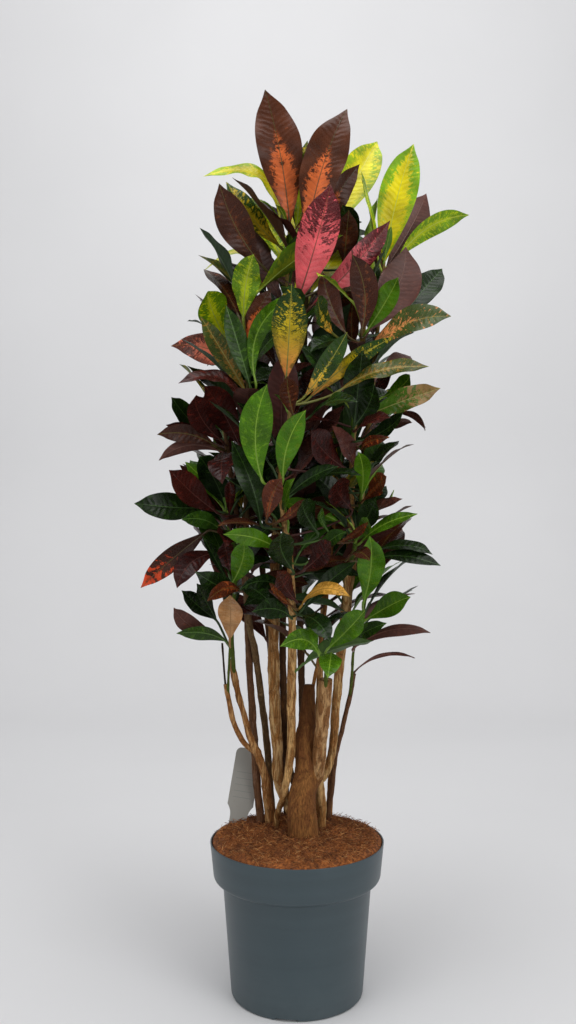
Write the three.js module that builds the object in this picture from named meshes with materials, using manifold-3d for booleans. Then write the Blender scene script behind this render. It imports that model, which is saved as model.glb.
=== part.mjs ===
// Potted croton: a bushy croton in a round nursery pot, about 1.26 m tall.
// Millimetres, +Z up. The origin is the middle of the pot's underside, the front is -Y.
// Leafy stems stand in plain holes in the soil, each one solid with its side shoots and leaves.
import * as THREE from "three";
import { mergeVertices } from "three/addons/utils/BufferGeometryUtils.js";
import Module from "manifold-3d";

const wasm = await Module();
wasm.setup();

// ---- driving dimensions ----
const GAP = 0.3; // clearance between pieces that touch

const POT_HEIGHT = 210;
const POT_BASE_RADIUS = 91.5;
const POT_BODY_TOP_RADIUS = 103.5;
const POT_BODY_HEIGHT = 156; // underside of the wide rim band
const POT_BAND_RADIUS = 116;
const POT_RIM_RADIUS = 121;
const POT_WALL = 2;
const POT_FLOOR = 2.5;
const POT_FOOT = 4; // height of the ring and pad that the floor stands on
const POT_FOOT_WIDTH = 12;
const POT_PAD_RADIUS = 20;
const POT_SIDES = 24;
const NOTCH_WIDTH = 30; // drain notches in the foot ring
const NOTCH_HEIGHT = 3.7;
const NOTCH_TURN = -99; // degrees, the notch that shows at the front
const DRAIN_RADIUS = 5;
const DRAIN_CIRCLE = 55;

const SOIL_EDGE_HEIGHT = 205;
const SOIL_CROWN_HEIGHT = 217;
const HOLE_GAP = 0.5; // stems stand this clear in their holes

const LABEL_WIDTH = 38;
const LABEL_NECK = 25;
const LABEL_LENGTH = 98; // from the neck to the top
const LABEL_STAKE = 62; // below the neck, in the soil
const LABEL_THICKNESS = 0.9;
const LABEL_FOOT = [-85, 62, 222];
const LABEL_LEAN_SIDE = 9.4; // degrees, to the right
const LABEL_LEAN_BACK = 17;

const STEM_STEP = 110; // the longest faceted stretch of a stem
const LEAF_KEEL = 1.6; // how far the midrib stands below the edges
const PETIOLE_WIDTH = 3.4;
const PETIOLE_THICKNESS = 2.6;
const PETIOLE_DROP = 15; // a petiole leaves its shoot this far below the blade
const LEAF_STATIONS = [0.2, 0.5, 0.8]; // places along the blade with a section
const PETIOLE_FREE = 0.5; // leaves of one stem may touch over this share of the petiole
const ROOT_PLACES = 60; // places along a shoot that a petiole can grow from
const ROOT_END = 0.985; // the last of them, as a share of the shoot
const LEAF_CLEAR = 1; // leaves are bent until they clear other stems' pieces by this
const FRONT_FACING = [0, -1, 0.35]; // leaves placed by eye face the viewer and a little upward
const FRONT_DEPTHS = [0, -10, 10, -20, 20, -32, 32, -45, 45, -60, 60];
const FRONT_TURNS = [0, 14, -14];

const GOLDEN = 137.508; // degrees between one leaf by rule and the next
const FILL_PETIOLE = 26;
const FILL_PETIOLE_RISE = 20; // degrees steeper than the blade
const FILL_LENGTH = 118;
const FILL_LENGTH_SPREAD = 48;
const FILL_SLIMNESS = 0.31; // width over length
const FILL_SLIMNESS_SPREAD = 0.09;
const FILL_RISE = 12; // degrees above level at the foot of the leafy part
const FILL_RISE_TOP = 46; // degrees more at the tip
const FILL_WANDER = 25; // degrees
const FILL_ARCH = 7;
const FILL_SIZES = [1, 0.86, 0.72];
const FILL_SWINGS = [0, 14, -14, 30, -30, 48, -48, 70, -70];
const FILL_LIFTS = [0, 14, -14, 28];
const SEED = 20;

// Half the depth and width of the crown at heights above the floor.
const CROWN = [
  [440, 80], [500, 150], [560, 172], [640, 176], [760, 176],
  [880, 172], [980, 166], [1080, 142], [1160, 100], [1240, 40],
];
const CROWN_CENTRE_Y = 20;
const CROWN_DEPTH = 1.12; // the crown is a little deeper than wide

// ---- the plant ----
// Each leafy stem has its shoots, as points [x, y, z, radius] from the foot up, and its leaves.
// A leaf in the front of the crown is placed by eye:
// [base x, y, z, tip x, y, z, width, roll, bow, arch], with roll in degrees about its length,
// bow the sideways bend in the middle, and arch the bend towards the viewer.
// A fill is [shoot, leaves, from, to, heading, spread, nearest y]: leaves by rule along a shoot,
// with their heading in degrees, 0 to the right and 90 to the back.
const PLANTS = [
  {
    name: "leafy_stem_trunk",
    color: "#2f4a26",
    shoots: {
      stump: [[11, 3, 160, 22], [11, 4, 203, 22], [7, 9, 241, 21.5], [8, 15, 266, 19.8],
        [13, 20, 290, 19.8], [12, 25, 314, 15], [12, 28, 342, 14.5], [16, 31, 374, 12],
        [18, 34, 420, 8]],
      side_root: [[36, 40, 164, 6], [36, 40, 218, 6], [36, 37, 245, 6.3], [31, 32, 281, 7],
        [22, 26, 298, 7]],
      pale: [[-6, 28, 237, 8], [-26, 44, 280, 7.8], [-28, 46, 330, 8.2], [-31, 46, 374, 8.2],
        [-33, 44, 426, 8], [-33, 40, 512, 7.4], [-30, 30, 627, 6.4], [-24, 20, 741, 5.4],
        [-18, 12, 853, 4.4], [-14, 8, 965, 3.8], [-11, 8, 1061, 3]],
      dark: [[4, 32, 253, 5], [-13, 60, 305, 4.6], [-18, 64, 360, 5], [-20, 58, 510, 5],
        [-11, 46, 627, 4.5], [0, 36, 742, 3.8], [9, 26, 855, 3.4], [13, 10, 951, 3],
        [14, -6, 1015, 2.6]],
      dark_front: [[9, 24, 866, 3], [5, -20, 918, 2.8], [4, -44, 957, 2.5]],
      cut_trunk: [[13, 24, 263, 9], [27, 20, 290, 8.8], [30, 15, 307, 8.8], [33, 8, 351, 9.3],
        [38, 2, 393, 9.4], [40, -5, 434, 9.6]],
      cut_trunk_shoot: [[39, 0, 404, 3], [40, -22, 447, 2.8], [39, -48, 475, 2.4]],
      right: [[17, 34, 272, 7], [38, 36, 288, 6.2], [48, 38, 312, 6.2], [54, 40, 343, 6.2],
        [55, 40, 376, 6.2], [59, 38, 423, 6.6], [62, 34, 471, 6], [69, 25, 542, 5.4],
        [75, 15, 627, 5], [77, 5, 726, 4.4], [82, -4, 823, 4], [88, -20, 883, 3.4],
        [91, -36, 922, 2.8]],
      right_middle: [[80, 4, 737, 3.2], [75, -32, 765, 3], [76, -52, 802, 2.6]],
      right_low: [[73, 20, 590, 3], [78, -22, 612, 2.8], [80, -42, 640, 2.4]],
      right_side: [[76, 10, 667, 3], [86, -14, 675, 2.8], [88, -26, 700, 2.4]],
    },
    leaves: {
      pale: [
        [-10, 10, 1070, -45, -5, 1259, 66, 0, -4, 10],
        [13, 5, 1049, 69, -15, 1227, 64, -8, 6, 12],
        [0, 40, 1076, 22, -31, 1190, 40, 50, 5, -10],
        [-24, 30, 1081, -135, 40, 1149, 35, 30, -50, 0],
        [-21, 0, 1036, -98, -14, 1125, 40, 20, 8, 6],
        [-46, -10, 1006, -104, -60, 1106, 49, -12, 6, -7],
        [49, 60, 1075, 124, 119, 1232, 60, 10, 0, 8],
        [30, 25, 1043, 91, 20, 1161, 35, 35, 8, 5],
        [80, 45, 1028, 63, -20, 1089, 40, 10, -6, -9],
        [-64, 30, 1021, -141, 97, 1029, 36, 30, -36, -7],
      ],
      dark_front: [
        [-1, -55, 946, 44, -75, 1101, 57, 0, -4, 10],
        [17, -35, 945, 128, -20, 1069, 37, 35, -6, 0],
        [-19, -55, 954, -79, 16, 1093, 39, 180, 4, 10],
        [34, -20, 1003, 86, 51, 1115, 32, 60, 0, 10],
        [65, -5, 1010, 69, -52, 1071, 33, 0, 0, -6],
      ],
      cut_trunk_shoot: [
        [39, -85, 487, 83, -143, 543, 34, 0, 0, -8],
        [29, -85, 479, -21, -143, 498, 28, -10, -14, 6],
        [27, -80, 485, 8, -14, 507, 30, 0, 0, 9],
        [44, -85, 482, 37, -154, 462, 31, 0, 0, 7],
      ],
      right: [
        [85, -65, 906, 70, -102, 1001, 39, 0, -12, -5],
        [93, -55, 910, 131, -100, 972, 34, 10, 0, -6],
        [65, -65, 904, 32, -87, 983, 32, 0, 4, -3],
        [74, -80, 946, 26, -149, 965, 20, 55, -18, -9],
        [49, -50, 904, 26, -110, 942, 32, 0, 0, -8],
        [98, -20, 915, 156, 51, 1045, 63, 180, -14, 10],
        [144, 25, 937, 216, 89, 1027, 46, 0, 0, 8],
        [95, -55, 882, 195, -126, 916, 50, -15, 12, 8],
      ],
      right_middle: [
        [76, -60, 785, 82, -125, 871, 43, 0, 0, -9],
        [75, -70, 781, 96, -123, 829, 30, 0, -4, -7],
        [91, -65, 795, 185, -104, 827, 39, -10, 0, 4],
        [76, -75, 775, 117, -134, 786, 24, -20, 4, 6],
        [79, -70, 761, 136, -117, 794, 30, -20, -4, -6],
        [85, -60, 751, 115, -124, 761, 15, 40, 0, 7],
        [117, -15, 825, 150, -74, 850, 25, 20, 0, -8],
        [116, 0, 860, 170, 71, 895, 35, 180, 0, 10],
        [138, 0, 804, 173, -61, 775, 12, 60, 8, 6],
        [124, -30, 779, 150, -96, 782, 19, 180, 0, 7],
      ],
      right_low: [
        [82, -60, 624, 157, -95, 664, 22, -25, 8, 3],
        [77, -65, 627, 86, -131, 659, 20, 0, 0, -9],
        [78, -45, 636, 98, -107, 681, 32, 0, 0, -8],
        [54, -60, 626, 87, -121, 653, 12, 20, 0, -8],
        [64, -70, 603, 91, -137, 604, 23, -20, 10, 7],
      ],
      right_side: [
        [88, -45, 682, 111, -108, 712, 29, 0, 4, -8],
        [87, -40, 687, 79, -93, 745, 24, 0, -6, -7],
        [112, 0, 677, 124, -68, 696, 22, 0, 0, -9],
        [94, -15, 673, 136, -75, 687, 27, -20, -8, 6],
      ],
    },
    fills: [
      ["pale", 12, 0.42, 0.95, -140, 250, -60], ["dark", 12, 0.42, 0.95, -50, 250, -60],
      ["right", 12, 0.42, 0.95, -20, 230, -50],
    ],
  },
  {
    name: "leafy_stem_left",
    color: "#33502a",
    shoots: {
      trunk: [[-37, 60, 174, 9], [-37, 59, 218, 9], [-42, 54, 252, 7.5], [-46, 50, 284, 6.6],
        [-56, 44, 317, 6], [-68, 40, 344, 5.6], [-73, 39, 364, 4.8], [-85, 39, 410, 4.2],
        [-95, 38, 455, 3.6]],
      upper: [[-90, 38, 433, 2.9], [-92, 16, 500, 2.7], [-87, -14, 551, 2.4], [-84, -24, 582, 2.2]],
      outer: [[-57, 44, 318, 4], [-76, 38, 336, 4], [-90, 32, 365, 3.8], [-97, 27, 399, 3.7],
        [-101, 25, 422, 3.6]],
      twig: [[-98, 26, 405, 2.2], [-97, 18, 432, 1.9], [-93, -5, 480, 1.8]],
      dark_twig: [[-98, 26, 405, 1.8], [-102, 25, 424, 1.5], [-106, 20, 481, 1.3]],
    },
    leaves: {
      upper: [
        [-89, -55, 569, -70, -120, 627, 34, 10, -3, -9],
        [-92, -50, 571, -123, -94, 636, 14, 30, 0, -6],
        [-83, -35, 561, -131, -100, 590, 34, -10, 8, 7],
        [-73, -60, 561, -115, -120, 553, 21, -30, -8, 6],
      ],
      twig: [
        [-93, -20, 489, -89, -86, 556, 36, 0, 0, -9],
        [-105, -15, 494, -162, -86, 541, 26, 160, 6, -10],
        [-97, -15, 487, -161, -63, 504, 22, -20, -6, 5],
        [-113, 0, 516, -152, -56, 560, 26, 0, 0, -7],
        [-110, -10, 514, -133, -65, 571, 20, 20, 0, -7],
      ],
    },
    fills: [["upper", 6, 0.3, 0.95, 150, 150, 0]],
  },
  {
    name: "leafy_stem_mauve",
    color: "#4a2a2c",
    shoots: {
      stem: [[-53, 60, 172, 5.5], [-53, 60, 220, 5.5], [-59, 62, 283, 5.8], [-65, 62, 381, 5.6],
        [-69, 58, 446, 4.9], [-73, 48, 540, 4.6], [-80, 26, 627, 4.2], [-90, 6, 698, 3.6],
        [-97, -8, 753, 3], [-100, -14, 778, 2.6]],
      side: [[-77, 36, 590, 3], [-91, 2, 628, 2.8], [-98, -14, 667, 2.4]],
    },
    leaves: {
      stem: [
        [-103, -45, 764, -132, -112, 819, 38, 0, 6, -9],
        [-78, -30, 757, -122, -97, 832, 44, 0, -6, -9],
        [-131, -5, 778, -167, -58, 820, 29, 0, 0, -7],
        [-111, -30, 757, -187, -63, 770, 27, -30, -8, 4],
        [-124, -10, 767, -177, -63, 784, 21, -20, 0, 6],
        [-103, -25, 749, -188, -47, 736, 19, 150, -16, 2],
        [-101, -35, 749, -99, -106, 706, 38, 0, 0, 8],
      ],
      side: [
        [-108, -40, 666, -163, -109, 720, 42, 0, 0, -9],
        [-98, -15, 673, -132, -81, 742, 41, 0, -6, -9],
        [-126, -20, 673, -216, -74, 679, 41, -10, 5, 6],
        [-93, -40, 660, -89, -101, 706, 16, 0, 0, -8],
        [-104, -30, 641, -153, -86, 657, 25, -30, -6, 6],
        [-124, -10, 641, -212, -50, 565, 33, 0, 0, 6],
        [-107, -15, 610, -161, -61, 565, 33, 0, -14, 5],
        [-102, 5, 626, -90, -58, 587, 26, 0, 0, 7],
      ],
    },
    fills: [["stem", 10, 0.55, 0.97, 160, 150, 0], ["side", 4, 0.3, 0.95, 150, 120, 5]],
  },
  {
    name: "leafy_stem_grey",
    color: "#3a4f24",
    shoots: {
      stem: [[-33, 88, 167, 5], [-36, 88, 221, 5], [-42, 84, 301, 5], [-45, 82, 334, 5],
        [-50, 78, 378, 5], [-55, 66, 422, 4.9], [-61, 48, 469, 4.8], [-68, 30, 508, 4.6],
        [-72, 14, 599, 4.2], [-70, -4, 712, 3.8], [-66, -26, 807, 3.4], [-70, -32, 888, 3],
        [-74, -28, 933, 2.7], [-67, -16, 979, 2.4]],
    },
    leaves: {
      stem: [
        [-62, -65, 832, -94, -85, 939, 30, 10, 0, 4],
        [-69, -45, 828, -130, -60, 929, 29, -20, 0, 4],
        [-55, -70, 837, 2, -85, 952, 26, 20, 28, 0],
        [-89, -35, 855, -182, 36, 907, 46, -20, -24, -8],
        [-99, -10, 909, -119, -81, 959, 50, 0, 0, -10],
        [-73, -45, 927, -57, -103, 1001, 40, 0, 6, -8],
        [-70, -35, 888, -36, -47, 974, 33, 0, 4, 4],
        [-66, -60, 803, -158, -75, 836, 29, 35, -30, 0],
      ],
    },
    fills: [["stem", 14, 0.55, 0.96, -160, 250, -45]],
  },
  {
    name: "leafy_stem_front",
    color: "#37702c",
    shoots: {
      stem: [[-31, 41, 180, 4.6], [-29, 38, 222, 4.6], [-26, 30, 242, 4.4], [-18, 17, 269, 4.6],
        [-12, 12, 303, 5.4], [-8, 10, 337, 6], [-8, 4, 391, 6.4], [-7, -4, 454, 6.3],
        [-7, -24, 532, 5.6], [-10, -52, 602, 4.6], [-18, -66, 656, 3.8], [-23, -76, 709, 3.4],
        [-15, -84, 762, 3], [-7, -92, 818, 2.5]],
    },
    leaves: {
      stem: [
        [-46, -105, 707, -39, -128, 829, 44, 0, 12, -3],
        [-19, -105, 708, 10, -124, 797, 33, 10, 8, 4],
        [-41, -105, 655, -21, -160, 707, 29, 0, 6, -7],
        [-48, -80, 650, -87, -90, 760, 36, 0, -6, 4],
        [-32, -95, 651, 7, -153, 683, 14, 20, 0, -8],
        [-18, -80, 683, 51, -107, 726, 24, -20, 8, -4],
        [6, -70, 702, 83, -102, 714, 21, -40, 10, 3],
        [-23, -105, 617, -93, -142, 638, 25, -30, -6, 4],
        [-6, -90, 590, -18, -161, 641, 38, 0, 6, -10],
        [14, -90, 602, 58, -142, 642, 23, -10, 6, -7],
        [7, -75, 590, 40, -136, 630, 31, 0, 0, -8],
        [3, -75, 541, 66, -122, 560, 22, -25, 16, 5],
        [-10, -80, 554, -76, -125, 567, 22, -35, -16, 5],
        [-9, -75, 528, -58, -134, 541, 29, -20, -6, 6],
        [-1, -75, 548, -23, -137, 590, 29, 0, 0, -8],
        [-2, -70, 540, -34, -130, 578, 14, 20, 0, -8],
        [5, -60, 535, 78, -70, 601, 26, -10, 4, 3],
        [5, -80, 531, 40, -140, 505, 30, -10, 6, 6],
        [-15, -95, 838, -8, -153, 951, 49, 0, 0, -8],
        [-5, -105, 790, -13, -163, 832, 28, 0, 0, -8],
        [8, -90, 817, 64, -105, 900, 31, -10, -4, 4],
        [13, -95, 814, 126, -110, 895, 24, 35, 5, 4],
        [53, -80, 824, 165, -120, 848, 30, -20, 12, 4],
        [15, -80, 792, 75, -140, 805, 29, -30, 10, 6],
        [64, -55, 726, 18, -126, 769, 47, 0, 0, -10],
        [27, -85, 639, 6, -156, 682, 34, 0, 0, -9],
        [43, -75, 638, 31, -140, 672, 12, 0, 0, -9],
        [74, -50, 670, 51, -121, 708, 41, 0, 0, -10],
      ],
    },
    fills: [["stem", 10, 0.5, 0.95, 90, 330, -95]],
  },
  {
    name: "leafy_stem_right",
    color: "#3f7a2e",
    shoots: {
      stem: [[47, 80, 170, 4], [47, 80, 223, 4], [52, 76, 258, 3.9], [55, 72, 292, 3.8],
        [58, 68, 315, 3.8], [65, 62, 343, 3.7], [71, 55, 373, 3.6], [78, 48, 405, 3.6],
        [82, 42, 434, 3.5]],
      shoot: [[77, 49, 399, 2.4], [79, 30, 438, 2.2], [80, 4, 476, 2], [92, -8, 528, 2],
        [97, -10, 566, 1.9], [101, -8, 603, 1.8]],
    },
    leaves: {
      stem: [
        [84, 45, 435, 170, 20, 459, 9, 70, 14, 3],
      ],
      shoot: [
        [78, -10, 477, 180, -50, 505, 23, 150, 14, 0],
        [90, -35, 543, 94, -95, 633, 40, 0, -6, -8],
        [94, -25, 519, 145, -85, 555, 35, 0, 4, -8],
        [76, -20, 491, 117, -79, 521, 23, -10, 0, 6],
        [104, -15, 603, 194, -45, 593, 27, -25, 8, 3],
        [104, -5, 611, 185, -36, 611, 23, -30, 10, 3],
      ],
    },
    fills: [["shoot", 4, 0.5, 0.95, 40, 120, 10]],
  },
  {
    name: "leafy_stem_far_right",
    color: "#5c7a2a",
    shoots: {
      stem: [[46, 98, 167, 5.4], [49, 98, 224, 5.4], [52, 94, 265, 5.2], [54, 86, 328, 5.1],
        [60, 76, 390, 5], [69, 64, 480, 4.9], [83, 52, 597, 4.6], [97, 42, 728, 4.2],
        [109, 32, 856, 3.8], [118, 25, 969, 3.2], [124, 22, 1022, 2.6]],
    },
    leaves: {
      stem: [
        [124, 10, 1019, 166, 0, 1191, 58, 0, 4, 6],
        [116, 15, 1020, 84, -56, 1124, 35, 62, -6, -10],
        [143, 40, 1027, 258, 99, 1112, 34, 50, 14, 8],
        [127, 30, 1016, 197, 101, 1150, 48, 180, -6, 10],
      ],
    },
    fills: [["stem", 16, 0.45, 0.95, 30, 170, 5]],
  },
  {
    name: "leafy_stem_back",
    color: "#2c4427",
    shoots: {
      stem: [[10, 88, 170, 5.6], [10, 88, 221, 5.6], [10, 86, 314, 5.4], [8, 82, 403, 5.2],
        [5, 82, 507, 5], [1, 86, 625, 4.8], [-5, 92, 759, 4.4], [-2, 95, 894, 4],
        [5, 88, 997, 3.4], [15, 76, 1074, 2.8]],
      slant: [[8, 86, 311, 3], [14, 78, 357, 2.8], [24, 64, 412, 2.8], [32, 52, 457, 2.7],
        [42, 34, 541, 2.6], [51, 14, 642, 2.5], [57, -6, 739, 2.3]],
    },
    leaves: {},
    fills: [["stem", 20, 0.42, 0.99, 90, 260, 10], ["slant", 12, 0.42, 0.97, -50, 260, -60]],
  },
  {
    name: "leafy_stem_back_left",
    color: "#31431f",
    shoots: {
      stem: [[-12, 104, 172, 5], [-14, 104, 221, 5], [-24, 106, 330, 4.8], [-40, 106, 470, 4.6],
        [-54, 104, 620, 4.3], [-60, 98, 770, 4], [-58, 88, 900, 3.5], [-46, 72, 1010, 2.8]],
    },
    leaves: {},
    fills: [["stem", 18, 0.42, 0.99, 130, 230, 10]],
  },
  {
    name: "leafy_stem_back_right",
    color: "#43331f",
    shoots: {
      stem: [[29, 104, 172, 5], [30, 106, 221, 5], [32, 110, 330, 4.8], [38, 114, 470, 4.6],
        [46, 112, 620, 4.3], [54, 104, 770, 4], [60, 92, 900, 3.5], [62, 74, 1010, 2.8]],
    },
    leaves: {},
    fills: [["stem", 20, 0.42, 0.99, 55, 230, 10]],
  },
];

// ---- solids ----
function solidOf(geometry) {
  const bare = geometry.index ? geometry.toNonIndexed() : geometry.clone();
  bare.deleteAttribute("normal");
  bare.deleteAttribute("uv");
  const merged = mergeVertices(bare, 1e-4);
  return new wasm.Manifold(new wasm.Mesh({
    numProp: 3,
    vertProperties: new Float32Array(merged.attributes.position.array),
    triVerts: new Uint32Array(merged.index.array),
  }));
}

function geometryOf(solid) {
  const mesh = solid.getMesh();
  const geometry = new THREE.BufferGeometry();
  geometry.setAttribute("position", new THREE.BufferAttribute(mesh.vertProperties, 3));
  geometry.setIndex(new THREE.BufferAttribute(mesh.triVerts, 1));
  geometry.computeVertexNormals();
  return geometry;
}

function lathe(profile, sides) {
  const points = profile.map(([radius, height]) => new THREE.Vector2(radius, height));
  return new THREE.LatheGeometry(points, sides).rotateX(Math.PI / 2);
}

function radians(degrees) {
  return degrees * Math.PI / 180;
}

// ---- stems ----
function shootCurve(points) {
  const places = points.map(([x, y, z]) => new THREE.Vector3(x, y, z));
  return new THREE.CatmullRomCurve3(places, false, "catmullrom", 0.5);
}

function shootRadius(points, along) {
  const place = along * (points.length - 1);
  const before = Math.min(Math.floor(place), points.length - 2);
  return THREE.MathUtils.lerp(points[before][3], points[before + 1][3], place - before);
}

function shootSteps(points) {
  return Math.max(points.length - 1, Math.ceil(shootCurve(points).getLength() / STEM_STEP));
}

// A place on the straight stretches between a shoot's rings, from 0 at the foot to 1 at the tip.
function shootPoint(points, along) {
  const curve = shootCurve(points);
  const steps = shootSteps(points);
  const before = Math.min(Math.floor(along * steps), steps - 1);
  return curve.getPoint(before / steps).lerp(curve.getPoint((before + 1) / steps), along * steps - before);
}

// A tapered tube: a cylinder whose rings are set across the shoot's curve.
function shootSolid(points, extraRadius = 0) {
  const curve = shootCurve(points);
  const thick = points[0][3];
  const sides = thick > 12 ? 10 : thick > 6 ? 8 : 6;
  const steps = shootSteps(points);
  const geometry = new THREE.CylinderGeometry(1, 1, 1, sides, steps);
  const position = geometry.attributes.position;
  for (let i = 0; i < position.count; i++) {
    const along = position.getY(i) + 0.5;
    const centre = curve.getPoint(along);
    const tangent = curve.getTangent(along);
    const across = new THREE.Vector3(1, 0, 0).addScaledVector(tangent, -tangent.x).normalize();
    const beside = new THREE.Vector3().crossVectors(across, tangent);
    const radius = shootRadius(points, along) + extraRadius;
    centre.addScaledVector(across, position.getX(i) * radius);
    centre.addScaledVector(beside, position.getZ(i) * radius);
    position.setXYZ(i, centre.x, centre.y, centre.z);
  }
  return solidOf(geometry);
}

// ---- leaves ----
function bladeWidth(along) {
  return Math.sin(Math.PI * along ** 1.27) ** 0.82;
}

// The point on a shoot that a petiole with its blade at base grows from.
function petioleRoot(points, base) {
  const aim = base.clone().setZ(base.z - PETIOLE_DROP);
  let root = shootPoint(points, 0);
  for (let i = 1; i <= ROOT_PLACES; i++) {
    const place = shootPoint(points, i / ROOT_PLACES * ROOT_END);
    if (place.distanceTo(aim) < root.distanceTo(aim)) root = place;
  }
  return root;
}

// Sections of a leaf from its root to its tip: left edge, right edge and the midrib under them.
// From is the share of the petiole that is left out at the root, and extra fattens the leaf.
function leafSections(leaf, from, extra) {
  const chord = leaf.tip.clone().sub(leaf.base);
  const ahead = chord.clone().normalize();
  const facing = leaf.facing.clone().addScaledVector(ahead, -leaf.facing.dot(ahead)).normalize();
  const left = new THREE.Vector3().crossVectors(facing, ahead);
  const middle = leaf.base.clone().addScaledVector(chord, 0.5);
  middle.addScaledVector(left, 2 * leaf.bow).addScaledVector(facing, 2 * leaf.arch);
  const midrib = new THREE.QuadraticBezierCurve3(leaf.base, middle, leaf.tip);

  function section(centre, tangent, halfWidth, keel) {
    const up = facing.clone().applyAxisAngle(ahead, radians(leaf.roll));
    up.addScaledVector(tangent, -up.dot(tangent)).normalize();
    const side = new THREE.Vector3().crossVectors(up, tangent);
    const upper = centre.clone().addScaledVector(up, extra);
    return [
      upper.clone().addScaledVector(side, halfWidth + extra),
      upper.clone().addScaledVector(side, -halfWidth - extra),
      centre.clone().addScaledVector(up, -keel - extra),
    ];
  }

  const petioleAhead = leaf.base.clone().sub(leaf.root).normalize();
  const start = leaf.root.clone().lerp(leaf.base, from);
  const sections = [
    section(start, petioleAhead, PETIOLE_WIDTH / 2, PETIOLE_THICKNESS),
    section(leaf.base, midrib.getTangent(0), PETIOLE_WIDTH / 2, PETIOLE_THICKNESS),
  ];
  for (const along of LEAF_STATIONS) {
    const halfWidth = leaf.width / 2 * bladeWidth(along);
    sections.push(section(midrib.getPoint(along), midrib.getTangent(along), halfWidth, LEAF_KEEL));
  }
  return sections;
}

// One closed solid from a leaf's sections, ending in a point.
function leafSolid(leaf, from = 0, extra = 0) {
  const sections = leafSections(leaf, from, extra);
  const points = sections.flat();
  const ahead = leaf.tip.clone().sub(leaf.base).normalize();
  const tip = points.push(leaf.tip.clone().addScaledVector(ahead, 3 * extra)) - 1;
  const index = [0, 2, 1];
  for (let i = 0; i < sections.length - 1; i++) {
    for (let corner = 0; corner < 3; corner++) {
      const here = 3 * i + corner;
      const beside = 3 * i + (corner + 1) % 3;
      index.push(here, beside, here + 3, beside, beside + 3, here + 3);
    }
  }
  const last = 3 * (sections.length - 1);
  for (let corner = 0; corner < 3; corner++) {
    index.push(last + corner, last + (corner + 1) % 3, tip);
  }
  const geometry = new THREE.BufferGeometry().setFromPoints(points);
  geometry.setIndex(index);
  return solidOf(geometry);
}

// Small swings of a leaf about its root, tried in turn until it clears the others.
function frontTries([bx, by, bz, tx, ty, tz, width, roll, bow, arch], points) {
  const facing = new THREE.Vector3(...FRONT_FACING);
  const tries = [];
  for (const depth of FRONT_DEPTHS) {
    for (const lean of [0.5, 0, 1]) {
      for (const turn of FRONT_TURNS) {
        const base = new THREE.Vector3(bx, by + depth * lean, bz);
        const tip = new THREE.Vector3(tx, ty + depth, tz);
        const root = petioleRoot(points, base);
        tries.push({ root, base, tip, width, roll: roll + turn, bow, arch, facing });
      }
    }
  }
  return tries;
}

// Park and Miller's random numbers, from 0 to 1.
function randomFrom(seed) {
  let state = seed;
  return () => {
    state = state * 16807 % 2147483647;
    return state / 2147483647;
  };
}

// A unit vector from its heading and its rise above level, in degrees.
function direction(heading, rise) {
  const level = Math.cos(radians(rise));
  const [x, y] = [Math.cos(radians(heading)), Math.sin(radians(heading))];
  return new THREE.Vector3(level * x, level * y, Math.sin(radians(rise)));
}

// A leaf by rule: a turn of the golden angle from the last, steeper towards the shoot's tip.
function fillTries(points, [, count, from, to, heading, spread], index, random) {
  const [drawTurn, drawRise, drawLength, drawWidth] = [random(), random(), random(), random()];
  const level = (index + 0.5) / count;
  const root = shootPoint(points, from + (to - from) * level);
  const golden = (index * GOLDEN / 360) % 1;
  const homeTurn = heading + spread * (golden - 0.5) + FILL_WANDER * (drawTurn - 0.5);
  const homeRise = FILL_RISE + FILL_RISE_TOP * level ** 2 + FILL_WANDER * (drawRise - 0.5);
  const roll = 2 * FILL_WANDER * (drawTurn - 0.5);
  const slimness = FILL_SLIMNESS + FILL_SLIMNESS_SPREAD * drawWidth;
  const tries = [];
  for (const size of FILL_SIZES) {
    const length = size * (FILL_LENGTH + FILL_LENGTH_SPREAD * drawLength);
    const width = length * slimness;
    for (const swing of FILL_SWINGS) {
      for (const lift of FILL_LIFTS) {
        const [turn, rise] = [homeTurn + swing, homeRise + lift];
        const petiole = direction(turn, rise + FILL_PETIOLE_RISE).multiplyScalar(FILL_PETIOLE);
        const base = root.clone().add(petiole);
        const tip = base.clone().addScaledVector(direction(turn, rise), length);
        const facing = direction(turn, 0).multiplyScalar(-0.4).setZ(1);
        tries.push({ root, base, tip, width, roll, bow: 0, arch: FILL_ARCH, facing });
      }
    }
  }
  return tries;
}

function insideCrown(point) {
  const above = CROWN.findIndex(([height]) => height > point.z);
  if (above < 1) return false;
  const [lowHeight, lowRadius] = CROWN[above - 1];
  const [highHeight, highRadius] = CROWN[above];
  const share = (point.z - lowHeight) / (highHeight - lowHeight);
  const away = Math.hypot(point.x, (point.y - CROWN_CENTRE_Y) / CROWN_DEPTH);
  return away < THREE.MathUtils.lerp(lowRadius, highRadius, share);
}

// ---- growing the plant ----
const placed = []; // every shoot and leaf so far, with its box, for the clearance tests

function boxOf(solid) {
  const { min, max } = solid.boundingBox();
  return new THREE.Box3(new THREE.Vector3(...min), new THREE.Vector3(...max));
}

// Leaves of one stem may touch at their roots, but beyond those they stay apart.
function remember(plant, whole, beyond) {
  placed.push({ plant, whole, beyond, box: boxOf(whole) });
}

function clearsOtherStems(plant, solid) {
  const box = boxOf(solid);
  const near = placed.filter((other) => other.plant !== plant && other.box.intersectsBox(box));
  return near.every((other) => other.whole.intersect(solid).isEmpty());
}

function clearsOwnStem(plant, solid) {
  const box = boxOf(solid);
  const near = placed.filter((other) => other.plant === plant && other.box.intersectsBox(box));
  return near.every((other) => other.beyond.intersect(solid).isEmpty());
}

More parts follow.
